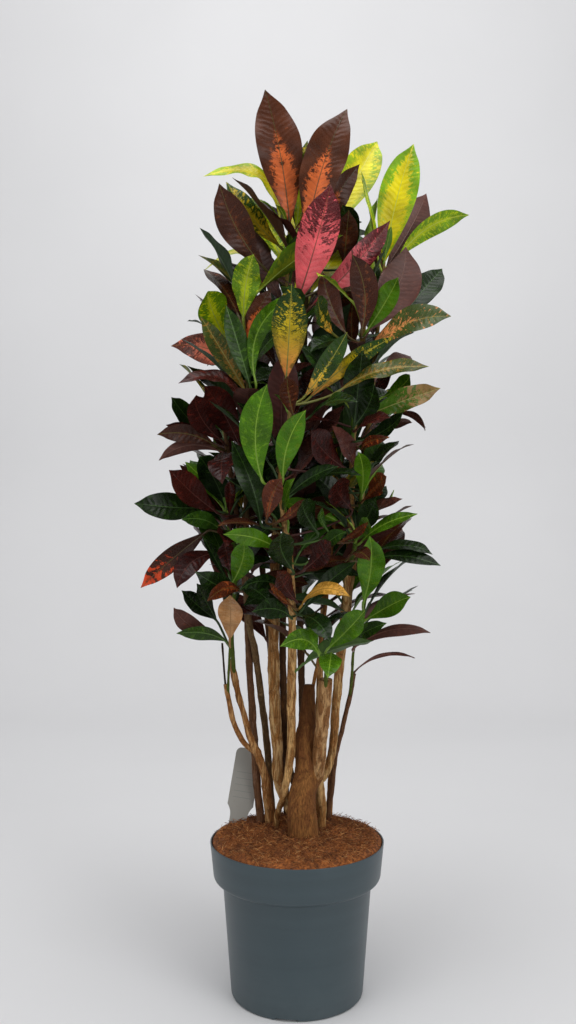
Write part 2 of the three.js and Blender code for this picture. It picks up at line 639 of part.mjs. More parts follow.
function growLeaf(plant, tries) {
  for (const leaf of tries) {
    if (!clearsOtherStems(plant, leafSolid(leaf, 0, LEAF_CLEAR))) continue;
    const whole = leafSolid(leaf);
    const beyond = leafSolid(leaf, PETIOLE_FREE);
    if (!clearsOtherStems(plant, whole) || !clearsOwnStem(plant, beyond)) continue;
    remember(plant, whole, beyond);
    plant.solid = plant.solid.add(whole);
    return;
  }
}

function growShoots(plant) {
  for (const points of Object.values(plant.shoots)) {
    const shoot = shootSolid(points);
    plant.solid = plant.solid ? plant.solid.add(shoot) : shoot;
    remember(plant, shoot, shoot);
  }
}

function growFrontLeaves(plant) {
  for (const [name, leaves] of Object.entries(plant.leaves)) {
    for (const leaf of leaves) growLeaf(plant, frontTries(leaf, plant.shoots[name]));
  }
}

function growFill(plant, fill, random) {
  const [name, count, , , , , nearest] = fill;
  for (let i = 0; i < count; i++) {
    const tries = fillTries(plant.shoots[name], fill, i, random);
    const fitting = tries.filter(({ tip }) => insideCrown(tip) && tip.y > nearest);
    growLeaf(plant, fitting);
  }
}

for (const plant of PLANTS) growShoots(plant);
for (const plant of PLANTS) growFrontLeaves(plant);
PLANTS.forEach((plant, number) => {
  const random = randomFrom(SEED + 1000 * number);
  for (const fill of plant.fills) growFill(plant, fill, random);
});

// ---- pot ----
// The wall's profile goes from the pad up the outside, over the rim and down the inside.
function potSolid() {
  const foot = POT_BASE_RADIUS - POT_FOOT_WIDTH;
  const floor = POT_FOOT + POT_FLOOR;
  let pot = solidOf(lathe([
    [0, 0], [POT_PAD_RADIUS, 0], [POT_PAD_RADIUS, POT_FOOT], [foot, POT_FOOT], [foot, 0],
    [POT_BASE_RADIUS - 3, 0], [POT_BASE_RADIUS, 3], [POT_BODY_TOP_RADIUS, POT_BODY_HEIGHT],
    [POT_BAND_RADIUS - 4, POT_BODY_HEIGHT + 2], [POT_BAND_RADIUS, POT_BODY_HEIGHT + 8],
    [POT_RIM_RADIUS, POT_HEIGHT - 2], [POT_RIM_RADIUS - 1, POT_HEIGHT],
    [POT_RIM_RADIUS - POT_WALL, POT_HEIGHT - 1],
    [POT_BAND_RADIUS - POT_WALL, POT_BODY_HEIGHT + 10],
    [POT_BODY_TOP_RADIUS - POT_WALL, POT_BODY_HEIGHT + 3],
    [POT_BASE_RADIUS - POT_WALL, floor], [0, floor],
  ], POT_SIDES));
  for (let turn = 0; turn < 360; turn += 90) {
    const notch = new THREE.BoxGeometry(40, NOTCH_WIDTH, 2 * NOTCH_HEIGHT);
    notch.translate(POT_BASE_RADIUS, 0, 0).rotateZ(radians(NOTCH_TURN + turn));
    pot = pot.subtract(solidOf(notch));
  }
  for (let turn = 0; turn < 360; turn += 60) {
    const drain = new THREE.CylinderGeometry(DRAIN_RADIUS, DRAIN_RADIUS, 20, 10);
    drain.rotateX(Math.PI / 2).translate(DRAIN_CIRCLE, 0, POT_FOOT).rotateZ(radians(turn));
    pot = pot.subtract(solidOf(drain));
  }
  return pot;
}

// ---- label ----
// A plain plastic label: a flat panel with round shoulders on a pointed stake.
function labelGeometry(extra) {
  const half = LABEL_WIDTH / 2 + extra;
  const neck = LABEL_NECK / 2 + extra;
  const top = LABEL_LENGTH + extra;
  const outline = new THREE.Shape();
  outline.moveTo(-neck, 0);
  outline.quadraticCurveTo(-neck, 8, -half, 16);
  outline.lineTo(-half, top - 8);
  outline.quadraticCurveTo(-half, top, -half + 8, top);
  outline.lineTo(half - 8, top);
  outline.quadraticCurveTo(half, top, half, top - 8);
  outline.lineTo(half, 16);
  outline.quadraticCurveTo(neck, 8, neck, 0);
  outline.lineTo(neck, -10);
  outline.lineTo(3 + extra, -LABEL_STAKE - extra);
  outline.lineTo(-3 - extra, -LABEL_STAKE - extra);
  outline.lineTo(-neck, -10);
  const depth = LABEL_THICKNESS + 2 * extra;
  const settings = { depth, bevelEnabled: false, curveSegments: 3 };
  const geometry = new THREE.ExtrudeGeometry(outline, settings).translate(0, 0, -depth / 2);
  geometry.rotateX(Math.PI / 2).rotateX(radians(-LABEL_LEAN_BACK)).rotateY(radians(LABEL_LEAN_SIDE));
  return geometry.translate(...LABEL_FOOT);
}

// ---- soil ----
// Coir that fills the pot and rises a little in the middle, with a hole for every stem.
function soilSolid() {
  const inside = POT_WALL + 2 * GAP; // the wall slopes, so the level gap is wider
  const bottom = POT_FOOT + POT_FLOOR + GAP;
  let soil = solidOf(lathe([
    [0, bottom], [POT_BASE_RADIUS - inside, bottom],
    [POT_BODY_TOP_RADIUS - inside, POT_BODY_HEIGHT + 3.6],
    [POT_BAND_RADIUS - inside, POT_BODY_HEIGHT + 10.8],
    [POT_RIM_RADIUS - inside - 0.5, SOIL_EDGE_HEIGHT],
    [POT_RIM_RADIUS - 10, SOIL_CROWN_HEIGHT - 6], [POT_RIM_RADIUS - 24, SOIL_CROWN_HEIGHT - 2],
    [50, SOIL_CROWN_HEIGHT], [0, SOIL_CROWN_HEIGHT + 0.5],
  ], POT_SIDES));
  for (const plant of PLANTS) {
    for (const points of Object.values(plant.shoots)) {
      if (points[0][2] > SOIL_CROWN_HEIGHT) continue;
      soil = soil.subtract(shootSolid(points, HOLE_GAP));
    }
  }
  return soil.subtract(solidOf(labelGeometry(HOLE_GAP)));
}

// ---- the group ----
const croton = new THREE.Group();

function addMesh(name, geometry, color, roughness) {
  const material = new THREE.MeshStandardMaterial({ color, roughness, metalness: 0 });
  const mesh = new THREE.Mesh(geometry, material);
  mesh.name = name;
  croton.add(mesh);
}

addMesh("pot", geometryOf(potSolid()), "#3f4f58", 0.55);
addMesh("soil", geometryOf(soilSolid()), "#7a4420", 0.95);
addMesh("plant_label", labelGeometry(0), "#b9bbb6", 0.5);
for (const plant of PLANTS) addMesh(plant.name, geometryOf(plant.solid), plant.color, 0.4);

export default croton;
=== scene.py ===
"""A bushy potted croton, dressed for its looks: variegated leaves, bark, coir and a nursery pot.

Metres and +Z up, with the pot's underside on the floor at the origin and the front towards -Y.
Plant sizes are written in millimetres, as a grower would measure them.
"""

import math
import random

import bpy
from mathutils import Matrix, Quaternion, Vector, noise
from mathutils.bvhtree import BVHTree
from mathutils.kdtree import KDTree


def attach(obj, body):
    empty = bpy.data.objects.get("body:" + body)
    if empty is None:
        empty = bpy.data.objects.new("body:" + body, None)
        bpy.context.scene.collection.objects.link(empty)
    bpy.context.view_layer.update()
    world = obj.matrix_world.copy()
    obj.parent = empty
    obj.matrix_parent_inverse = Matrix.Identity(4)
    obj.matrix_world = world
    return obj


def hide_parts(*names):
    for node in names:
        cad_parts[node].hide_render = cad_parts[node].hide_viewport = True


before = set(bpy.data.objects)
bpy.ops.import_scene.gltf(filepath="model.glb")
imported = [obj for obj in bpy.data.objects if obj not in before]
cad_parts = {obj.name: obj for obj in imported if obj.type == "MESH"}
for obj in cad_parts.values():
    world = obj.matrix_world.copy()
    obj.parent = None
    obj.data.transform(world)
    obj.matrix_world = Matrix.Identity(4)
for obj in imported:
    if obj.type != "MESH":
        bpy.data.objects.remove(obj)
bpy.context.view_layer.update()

MM = 0.001

# ---- pot, soil and label sizes, mm ----
POT_HEIGHT = 210
POT_BASE_RADIUS = 91.5
POT_BODY_TOP_RADIUS = 103.5
POT_BODY_HEIGHT = 156
POT_BAND_RADIUS = 116
POT_RIM_RADIUS = 121
POT_WALL = 2
POT_FOOT = 4
POT_FLOOR = 2.5
POT_PAD_RADIUS = 20
POT_FOOT_WIDTH = 12
POT_STEP = 4.5  # the height of the sloped step under the rim band
POT_CORNERS = (0.6, 0.8, 0.8, 0.6, 4, 3.5, 5, 0.9, 0.9, 4, 3, 3)  # how round each edge is
POT_SIDES = 128
NOTCH_WIDTH = 30
NOTCH_HEIGHT = 3.7
NOTCH_DEPTH = 40
NOTCH_TURN = -99
DRAIN_RADIUS = 5
DRAIN_CIRCLE = 55
DRAIN_SIDES = 24
SOIL_PROFILE = ((0, 217), (50, 216.5), (97, 214.5), (111, 210.5), (117.6, 205))
SOIL_UNDERSIDE = ((113.4, POT_BODY_HEIGHT + 10.9), (100.9, POT_BODY_HEIGHT + 3.7), (88.9, 6.9))
SOIL_RINGS = 46
SOIL_SIDES = 150
LUMP_HEIGHT = 4
LUMPS_PER_MM = 0.045
GRIT_HEIGHT = 2.6
GRIT_PER_MM = 0.32
HEAP_HEIGHT = 4.5  # the coir is heaped up all round between these radii
HEAP_RADII = (92, 112)
EDGE_WIDTH = 14  # and settles again near the pot's wall
EDGE_FALL = 1.5
LABEL_WIDTH = 38
LABEL_NECK = 25
LABEL_LENGTH = 98
LABEL_STAKE = 62
LABEL_THICKNESS = 0.9
LABEL_FOOT = (-85, 62, 222)
LABEL_LEAN_SIDE = 9.4
LABEL_LEAN_BACK = 17
LABEL_CORNER = 8
LABEL_SHOULDER = 16
LABEL_CURL = 0.9
LABEL_COLUMNS = 9
SHARP_EDGE = 40  # degrees

# ---- floor, backdrop and lamps, metres and watts: place, aim, size and power ----
SWEEP_FRONT = 9.0
SWEEP_BACK = 2.7
SWEEP_TURN = 1.0
SWEEP_TOP = 3.6
SWEEP_SIDE = 9.0
LAMPS = (
    ("overhead_softbox", (0.0, -0.3, 3.3), (0, 2.4, 0.9), 2.4, 70),
    ("left_softbox", (-2.0, -2.3, 1.2), (0, 0, 0.7), 1.8, 14),
    ("right_softbox", (1.9, -2.2, 1.3), (0, 0, 0.7), 1.4, 24),
)
WORLD_STRENGTH = 0.45
FOCAL_LENGTH = 34.875  # mm, on a sensor 36 mm high

# ---- how the leaves grow, mm and degrees ----
STEM_STEP = 110
CURVE_PLACES = 200
PETIOLE_DROP = 15
ROOT_PLACES = 60
ROOT_END = 0.985
FRONT_FACING = (0, -1, 0.35)
FRONT_DEPTHS = (0, -10, 10, -20, 20, -32, 32, -45, 45, -60, 60)
FRONT_TURNS = (0, 14, -14)
GOLDEN = 137.508
FILL_PETIOLE = 26
FILL_PETIOLE_RISE = 20
FILL_LENGTH = 118
FILL_LENGTH_SPREAD = 48
FILL_SLIMNESS = 0.31
FILL_SLIMNESS_SPREAD = 0.09
FILL_RISE = 12
FILL_RISE_TOP = 46
FILL_WANDER = 25
FILL_ARCH = 7
FILL_SIZES = (1, 0.86, 0.72)
FILL_SWINGS = (0, 14, -14, 30, -30, 48, -48, 70, -70)
FILL_LIFTS = (0, 14, -14, 28)
SEED = 20
SECTION_PLACES = (0.2, 0.5, 0.8)
LEAF_KEEL = 1.6
SEAT = 0.06  # a leaf's corner lies this close to a corner of its stem's solid

# ---- leaves inside the crown, mm and degrees ----
EYE = Vector((-12.6, -1387, 667))  # where the camera stands
CROWN_MIDDLE = (0, 40)
CROWN_BAND = 60
CROWN_SECTORS = 12
CROWN_SHARE = 0.92
MOST_HIDING = 2
PATCH_PLACES = (0.06, 0.28, 0.5, 0.72, 0.95)
INNER_COUNT = 380
INNER_TRIES = 24
INNER_LOWEST = 560
INNER_LENGTHS = (70, 145)
INNER_SLIMNESS = (0.32, 0.46)
INNER_ROOTS = (0.4, 0.98)
INNER_RISES = (-20, 50)
INNER_FACINGS = (0.2, 1.4)
INNER_ROLLS = (-25, 25)
INNER_SEED = 7
BUD_COUNT = 4
BUD_LENGTHS = (24, 52)
BUD_HIGHEST = 1180
BUD_RISES = (35, 70)
BUD_SPACING = 0.012

# ---- leaf blades, mm ----
VEIN_SPACING = 8
VEIN_LEAN = 0.5  # side veins run this much towards the tip for each mm outwards
VEIN_SWELL = 0.22
BLADE_THICKNESS = 0.5
BLADE_FOOT = 1.2  # half the blade's width where it meets the petiole
MIDRIB_SINK = 0.6
TIP_FROM = 0.72  # how far along the blade its tip begins to bend
TIP_BEND = 6
TROUGHS = (0.10, 0.26)
WAVES = (0.02, 0.065)
WAVE_TURNS = (1.4, 3.2)
HOOKS = (-7, 9)  # how far a blade's tip bends down
STALK_SIDES = 6
FRONT_ROWS = 38
FILL_ROWS = 24
INNER_ROWS = 13
BLADE_COLUMNS = (-1, -0.82, -0.6, -0.38, -0.18, 0, 0.18, 0.38, 0.6, 0.82, 1)
BLADE_SEED = 40

# ---- leaf colours ----
# Ground, marks, side veins, midrib and underside, how strongly the veins show, how far the marks
# blush to coral at the base, and where they lie: how wide along the midrib, in blotches, from the
# base up, on one half, off the margin, and at the tip, where less than nothing keeps the tip plain.
LEAF_KINDS = {
    "bronze": ("#4a2614", "#d06530", "#5e3018", "#45401a", "#5d3b26", 0.35,
        0, 1.80, 0.05, -1, 0, 0.60, -0.40),
    "maroon": ("#31120e", "#531d16", "#48201a", "#55281e", "#40201a", 0.30,
        0, -1, 0.38, -1, 0, 0, 0),
    "plum": ("#4d2a24", "#683c31", "#643e32", "#6b4030", "#583a32", 0.30,
        0, -1, 0.40, -1, 0, 0, 0),
    "umber": ("#3f2014", "#63331a", "#4f2e1a", "#5f5624", "#4c3224", 0.30,
        0, 0.40, 0.30, -1, 0, 0, -0.30),
    "rust": ("#542715", "#a34f24", "#683719", "#5f4a22", "#5a3824", 0.30,
        0, 0.60, 0.32, -1, 0, 0.30, -0.35),
    "pink": ("#4a1316", "#d0545c", "#dc8a86", "#6a4428", "#84504a", 0.40,
        0, 0.90, 0.24, 0.70, 0, 0.15, -0.20),
    "salmon": ("#4a241b", "#cc6a4f", "#dc9072", "#8a5c34", "#85523e", 0.45,
        0, 1.20, 0.32, 0.70, 0, 0.75, -0.15),
    "ember": ("#3a2016", "#b43c1a", "#452c1c", "#544622", "#4c3426", 0.30,
        0, -1, 0.10, -1, 0, 0, 0.31),
    "tan": ("#a87647", "#c39160", "#7a4f2c", "#8f683a", "#a07a52", 0.50,
        0, 0.60, 0.45, -1, 0, 0.30, 0),
    "amber": ("#b5802c", "#cf9b42", "#7c5222", "#93702e", "#a37c46", 0.50,
        0, 0.70, 0.50, -1, 0, 0.20, 0),
    "peach": ("#3b4b20", "#cf8149", "#7c7038", "#8a7c3a", "#6a6036", 0.40,
        0.3, 0.45, 0.30, 0.38, 0, 0.30, -0.30),
    "yellow": ("#86a210", "#d0c512", "#d9d35a", "#d3cd58", "#98a034", 0.35,
        0, 1.10, 0.50, 0.45, 0, 0.80, 0),
    "split": ("#6e9811", "#cbc00a", "#d6d050", "#cfcb50", "#93a030", 0.35,
        0, 1.30, 0.22, 0.60, 0, 0.75, 0),
    "lime": ("#658e12", "#b0bd12", "#b6c558", "#b7c250", "#6d8432", 0.35,
        0, 0.55, 0.42, 0.20, 0, 0.30, 0),
    "mottled": ("#26400f", "#c6a41b", "#5f742a", "#8c8c34", "#4e602e", 0.40,
        0.2, 0.50, 0.44, 0.35, 0, 0.50, 0),
    "gilded": ("#26400f", "#ceaa1e", "#5c7028", "#8f8c34", "#4e602e", 0.40,
        0.5, 0.70, 0.18, 0.30, 0, 0.20, -0.40),
    "sunset": ("#25400f", "#cdb31d", "#5f742a", "#93923a", "#606a30", 0.40,
        0.8, 0.60, 0.38, 0.60, 0, 0.70, -0.15),
    "turned": ("#3e5d14", "#8c6b41", "#6c7c38", "#97904c", "#5c6636", 0.35,
        0, -1, 0.24, -1, 0, 0, 0.46),
    "olive": ("#3d4812", "#7a5b1d", "#6d7334", "#8b8a44", "#545a30", 0.35,
        0, 0.40, 0.38, 0.25, 0, 0.20, 0),
    "deep": ("#132408", "#21390c", "#2c441a", "#3c5826", "#30442a", 0.30,
        0, -1, 0.38, -1, 0, 0, 0),
    "moss": ("#28450e", "#3d5d14", "#446426", "#587a34", "#465f38", 0.30,
        0, -1, 0.40, -1, 0, 0, 0),
    "fresh": ("#3f680b", "#537811", "#74992a", "#8aaa3a", "#5c8038", 0.35,
        0, 0.20, 0.40, 0.05, 0, 0, 0),
}
# What the leaves that grow by rule may be, up to each height.
FILL_KINDS = (
    (640, ("deep", "moss", "maroon", "fresh", "deep", "plum", "umber")),
    (940, ("deep", "maroon", "deep", "moss", "umber", "mottled", "maroon", "deep", "plum")),
    (1300, ("bronze", "maroon", "mottled", "lime", "umber", "deep", "yellow")),
)
INNER_KINDS = ("deep", "deep", "moss", "maroon", "deep", "umber", "moss", "plum", "fresh")

# ---- bark colours: bark, patches, how much is patched, old scars and young wood, which on the stump is painted shade ----
BARK = {
    # the stump's last tone is painted shade that darkens its upper part
    "stump": ("#7d4f2a", "#946434", 0.50, "#4a2a15", "#4a2813"),
    "side_root": ("#a87744", "#d4ae75", 0.50, "#4a2c15", "#8a5e31"),
    "pale": ("#956637", "#d9b37c", 0.48, "#4a321c", "#665c26"),
    "tan": ("#8c5e31", "#b5844d", 0.40, "#402813", "#5f5625"),
    "dark": ("#4c331e", "#734f2d", 0.36, "#20130a", "#463d1b"),
    "cut_trunk": ("#875c35", "#c59d6c", 0.48, "#3e2817", "#8b6039"),
    "right": ("#936436", "#d2ad74", 0.49, "#422e1a", "#625625"),
    "trunk": ("#8a5a2f", "#c99c67", 0.46, "#3c2817", "#6a522a"),
    "mauve": ("#6a4931", "#97735c", 0.38, "#322117", "#4c381e"),
    "grey": ("#6e5639", "#a3855c", 0.40, "#322618", "#4b4721"),
    "front": ("#916436", "#d7ad72", 0.48, "#3c2a17", "#4a581e"),
    "twig": ("#4d561f", "#746e32", 0.32, "#333815", "#4b661f"),
    "dark_twig": ("#332317", "#523823", 0.32, "#1c110a", "#332317"),
}
YOUNG_WOOD_AND_SHADE_FROM = {"stump": 235, "twig": 380}  # the height in mm from which the bark turns green, and from which painted shade darkens the stump
YOUNG_USUAL = 620
YOUNG_WOOD_AND_SHADE_OVER = 260
SHOOT_BARK = {
    "leafy_stem_trunk": {name: name for name in (
        "stump", "side_root", "pale", "dark", "cut_trunk", "right")},
    "leafy_stem_left": {"trunk": "trunk", "outer": "trunk", "dark_twig": "dark_twig"},
    "leafy_stem_mauve": {"stem": "mauve"},
    "leafy_stem_grey": {"stem": "grey"},
    "leafy_stem_front": {"stem": "front"},
    "leafy_stem_right": {"stem": "mauve"},
    "leafy_stem_far_right": {"stem": "right"},
    "leafy_stem_back": {"stem": "dark", "slant": "tan"},
    "leafy_stem_back_left": {"stem": "dark"},
    "leafy_stem_back_right": {"stem": "front"},
}

# ---- the plant, mm ----
# Shoots are points x, y, z, radius from the foot up. A front leaf is its kind, base, tip, width,
# roll, sideways bow and arch. A fill is a shoot, its leaves, from, to, heading and spread.
PLANTS = {
    "leafy_stem_trunk": {"shoots": {
        "stump": [(11, 3, 160, 22), (11, 4, 203, 22), (7, 9, 241, 21.5), (8, 15, 266, 19.8),
            (13, 20, 290, 19.8), (12, 25, 314, 15), (12, 28, 342, 14.5), (16, 31, 374, 12),
            (18, 34, 420, 8)],
        "side_root": [(36, 40, 164, 6), (36, 40, 218, 6), (36, 37, 245, 6.3), (31, 32, 281, 7),
            (22, 26, 298, 7)],
        "pale": [(-6, 28, 237, 8), (-26, 44, 280, 7.8), (-28, 46, 330, 8.2), (-31, 46, 374, 8.2),
            (-33, 44, 426, 8), (-33, 40, 512, 7.4), (-30, 30, 627, 6.4), (-24, 20, 741, 5.4),
            (-18, 12, 853, 4.4), (-14, 8, 965, 3.8), (-11, 8, 1061, 3)],
        "dark": [(4, 32, 253, 5), (-13, 60, 305, 4.6), (-18, 64, 360, 5), (-20, 58, 510, 5),
            (-11, 46, 627, 4.5), (0, 36, 742, 3.8), (9, 26, 855, 3.4), (13, 10, 951, 3),
            (14, -6, 1015, 2.6)],
        "dark_front": [(9, 24, 866, 3), (5, -20, 918, 2.8), (4, -44, 957, 2.5)],
        "cut_trunk": [(13, 24, 263, 9), (27, 20, 290, 8.8), (30, 15, 307, 8.8), (33, 8, 351, 9.3),
            (38, 2, 393, 9.4), (40, -5, 434, 9.6)],
        "cut_trunk_shoot": [(39, 0, 404, 3), (40, -22, 447, 2.8), (39, -48, 475, 2.4)],
        "right": [(17, 34, 272, 7), (38, 36, 288, 6.2), (48, 38, 312, 6.2), (54, 40, 343, 6.2),
            (55, 40, 376, 6.2), (59, 38, 423, 6.6), (62, 34, 471, 6), (69, 25, 542, 5.4),
            (75, 15, 627, 5), (77, 5, 726, 4.4), (82, -4, 823, 4), (88, -20, 883, 3.4),
            (91, -36, 922, 2.8)],
        "right_middle": [(80, 4, 737, 3.2), (75, -32, 765, 3), (76, -52, 802, 2.6)],
        "right_low": [(73, 20, 590, 3), (78, -22, 612, 2.8), (80, -42, 640, 2.4)],
        "right_side": [(76, 10, 667, 3), (86, -14, 675, 2.8), (88, -26, 700, 2.4)],
    }, "leaves": {
        "pale": [
            ("bronze", -10, 10, 1070, -45, -5, 1259, 66, 0, -4, 10),
            ("bronze", 13, 5, 1049, 69, -15, 1227, 64, -8, 6, 12),
            ("lime", 0, 40, 1076, 22, -31, 1190, 40, 50, 5, -10),
            ("yellow", -24, 30, 1081, -135, 40, 1149, 35, 30, -50, 0),
            ("mottled", -21, 0, 1036, -98, -14, 1125, 40, 20, 8, 6),
            ("umber", -46, -10, 1006, -104, -60, 1106, 49, -12, 6, -7),
            ("yellow", 49, 60, 1075, 124, 119, 1232, 60, 10, 0, 8),
            ("bronze", 30, 25, 1043, 91, 20, 1161, 35, 35, 8, 5),
            ("deep", 80, 45, 1028, 63, -20, 1089, 40, 10, -6, -9),
            ("yellow", -64, 30, 1021, -141, 97, 1029, 36, 30, -36, -7),
        ],
        "dark_front": [
            ("pink", -1, -55, 946, 44, -75, 1101, 57, 0, -4, 10),
            ("pink", 17, -35, 945, 128, -20, 1069, 37, 35, -6, 0),
            ("plum", -19, -55, 954, -79, 16, 1093, 39, 180, 4, 10),
            ("umber", 34, -20, 1003, 86, 51, 1115, 32, 60, 0, 10),
            ("umber", 65, -5, 1010, 69, -52, 1071, 33, 0, 0, -6),
        ],
        "cut_trunk_shoot": [
            ("fresh", 39, -85, 487, 83, -143, 543, 34, 0, 0, -8),
            ("fresh", 29, -85, 479, -21, -143, 498, 28, -10, -14, 6),
            ("fresh", 27, -80, 485, 8, -14, 507, 30, 0, 0, 9),
            ("fresh", 44, -85, 482, 37, -154, 462, 31, 0, 0, 7),
        ],
        "right": [
            ("umber", 85, -65, 906, 70, -102, 1001, 39, 0, -12, -5),
            ("fresh", 93, -55, 910, 131, -100, 972, 34, 10, 0, -6),
            ("umber", 65, -65, 904, 32, -87, 983, 32, 0, 4, -3),
            ("lime", 74, -80, 946, 26, -149, 965, 20, 55, -18, -9),
            ("gilded", 49, -50, 904, 26, -110, 942, 32, 0, 0, -8),
            ("plum", 98, -20, 915, 156, 51, 1045, 63, 180, -14, 10),
            ("deep", 144, 25, 937, 216, 89, 1027, 46, 0, 0, 8),
            ("peach", 95, -55, 882, 195, -126, 916, 50, -15, 12, 8),
        ],
        "right_middle": [
            ("deep", 76, -60, 785, 82, -125, 871, 43, 0, 0, -9),
            ("deep", 75, -70, 781, 96, -123, 829, 30, 0, -4, -7),
            ("turned", 91, -65, 795, 185, -104, 827, 39, -10, 0, 4),
            ("maroon", 76, -75, 775, 117, -134, 786, 24, -20, 4, 6),
            ("deep", 79, -70, 761, 136, -117, 794, 30, -20, -4, -6),
            ("rust", 85, -60, 751, 115, -124, 761, 15, 40, 0, 7),
            ("fresh", 117, -15, 825, 150, -74, 850, 25, 20, 0, -8),
            ("plum", 116, 0, 860, 170, 71, 895, 35, 180, 0, 10),
            ("plum", 138, 0, 804, 173, -61, 775, 12, 60, 8, 6),
            ("plum", 124, -30, 779, 150, -96, 782, 19, 180, 0, 7),
        ],
        "right_low": [
            ("fresh", 82, -60, 624, 157, -95, 664, 22, -25, 8, 3),
            ("fresh", 77, -65, 627, 86, -131, 659, 20, 0, 0, -9),
            ("deep", 78, -45, 636, 98, -107, 681, 32, 0, 0, -8),
            ("rust", 54, -60, 626, 87, -121, 653, 12, 20, 0, -8),
            ("umber", 64, -70, 603, 91, -137, 604, 23, -20, 10, 7),
        ],
        "right_side": [
            ("rust", 88, -45, 682, 111, -108, 712, 29, 0, 4, -8),
            ("fresh", 87, -40, 687, 79, -93, 745, 24, 0, -6, -7),
            ("lime", 112, 0, 677, 124, -68, 696, 22, 0, 0, -9),
            ("plum", 94, -15, 673, 136, -75, 687, 27, -20, -8, 6),
        ],
    }, "fills": [("pale", 12, 0.42, 0.95, -140, 250), ("dark", 12, 0.42, 0.95, -50, 250),
        ("right", 12, 0.42, 0.95, -20, 230)]},
    "leafy_stem_left": {"shoots": {
        "trunk": [(-37, 60, 174, 9), (-37, 59, 218, 9), (-42, 54, 252, 7.5), (-46, 50, 284, 6.6),
            (-56, 44, 317, 6), (-68, 40, 344, 5.6), (-73, 39, 364, 4.8), (-85, 39, 410, 4.2),
            (-95, 38, 455, 3.6)],
        "upper": [(-90, 38, 433, 2.9), (-92, 16, 500, 2.7), (-87, -14, 551, 2.4),
            (-84, -24, 582, 2.2)],
        "outer": [(-57, 44, 318, 4), (-76, 38, 336, 4), (-90, 32, 365, 3.8), (-97, 27, 399, 3.7),
            (-101, 25, 422, 3.6)],
        "twig": [(-98, 26, 405, 2.2), (-97, 18, 432, 1.9), (-93, -5, 480, 1.8)],
        "dark_twig": [(-98, 26, 405, 1.8), (-102, 25, 424, 1.5), (-106, 20, 481, 1.3)],
    }, "leaves": {
        "upper": [
            ("fresh", -89, -55, 569, -70, -120, 627, 34, 10, -3, -9),
            ("deep", -92, -50, 571, -123, -94, 636, 14, 30, 0, -6),
            ("deep", -83, -35, 561, -131, -100, 590, 34, -10, 8, 7),
            ("rust", -73, -60, 561, -115, -120, 553, 21, -30, -8, 6),
        ],
        "twig": [
            ("tan", -93, -20, 489, -89, -86, 556, 36, 0, 0, -9),
            ("plum", -105, -15, 494, -162, -86, 541, 26, 160, 6, -10),
            ("moss", -97, -15, 487, -161, -63, 504, 22, -20, -6, 5),
            ("deep", -113, 0, 516, -152, -56, 560, 26, 0, 0, -7),
            ("deep", -110, -10, 514, -133, -65, 571, 20, 20, 0, -7),
        ],
    }, "fills": [("upper", 6, 0.3, 0.95, 150, 150)]},
    "leafy_stem_mauve": {"shoots": {
        "stem": [(-53, 60, 172, 5.5), (-53, 60, 220, 5.5), (-59, 62, 283, 5.8), (-65, 62, 381, 5.6),
            (-69, 58, 446, 4.9), (-73, 48, 540, 4.6), (-80, 26, 627, 4.2), (-90, 6, 698, 3.6),
            (-97, -8, 753, 3), (-100, -14, 778, 2.6)],
        "side": [(-77, 36, 590, 3), (-91, 2, 628, 2.8), (-98, -14, 667, 2.4)],
    }, "leaves": {
        "stem": [
            ("maroon", -103, -45, 764, -132, -112, 819, 38, 0, 6, -9),
            ("maroon", -78, -30, 757, -122, -97, 832, 44, 0, -6, -9),
            ("deep", -131, -5, 778, -167, -58, 820, 29, 0, 0, -7),
            ("umber", -111, -30, 757, -187, -63, 770, 27, -30, -8, 4),
            ("maroon", -124, -10, 767, -177, -63, 784, 21, -20, 0, 6),
            ("plum", -103, -25, 749, -188, -47, 736, 19, 150, -16, 2),
            ("maroon", -101, -35, 749, -99, -106, 706, 38, 0, 0, 8),
        ],
        "side": [
            ("maroon", -108, -40, 666, -163, -109, 720, 42, 0, 0, -9),
            ("deep", -98, -15, 673, -132, -81, 742, 41, 0, -6, -9),
            ("deep", -126, -20, 673, -216, -74, 679, 41, -10, 5, 6),
            ("maroon", -93, -40, 660, -89, -101, 706, 16, 0, 0, -8),
            ("moss", -104, -30, 641, -153, -86, 657, 25, -30, -6, 6),
            ("ember", -124, -10, 641, -212, -50, 565, 33, 0, 0, 6),
            ("maroon", -107, -15, 610, -161, -61, 565, 33, 0, -14, 5),
            ("maroon", -102, 5, 626, -90, -58, 587, 26, 0, 0, 7),
        ],
    }, "fills": [("stem", 10, 0.55, 0.97, 160, 150), ("side", 4, 0.3, 0.95, 150, 120)]},
    "leafy_stem_grey": {"shoots": {
        "stem": [(-33, 88, 167, 5), (-36, 88, 221, 5), (-42, 84, 301, 5), (-45, 82, 334, 5),
            (-50, 78, 378, 5), (-55, 66, 422, 4.9), (-61, 48, 469, 4.8), (-68, 30, 508, 4.6),
            (-72, 14, 599, 4.2), (-70, -4, 712, 3.8), (-66, -26, 807, 3.4), (-70, -32, 888, 3),
            (-74, -28, 933, 2.7), (-67, -16, 979, 2.4)],
    }, "leaves": {
        "stem": [
            ("moss", -62, -65, 832, -94, -85, 939, 30, 10, 0, 4),
            ("olive", -69, -45, 828, -130, -60, 929, 29, -20, 0, 4),
            ("fresh", -55, -70, 837, 2, -85, 952, 26, 20, 28, 0),
            ("salmon", -89, -35, 855, -182, 36, 907, 46, -20, -24, -8),
            ("lime", -99, -10, 909, -119, -81, 959, 50, 0, 0, -10),
            ("lime", -73, -45, 927, -57, -103, 1001, 40, 0, 6, -8),
            ("bronze", -70, -35, 888, -36, -47, 974, 33, 0, 4, 4),
            ("maroon", -66, -60, 803, -158, -75, 836, 29, 35, -30, 0),
        ],
    }, "fills": [("stem", 14, 0.55, 0.96, -160, 250)]},
    "leafy_stem_front": {"shoots": {
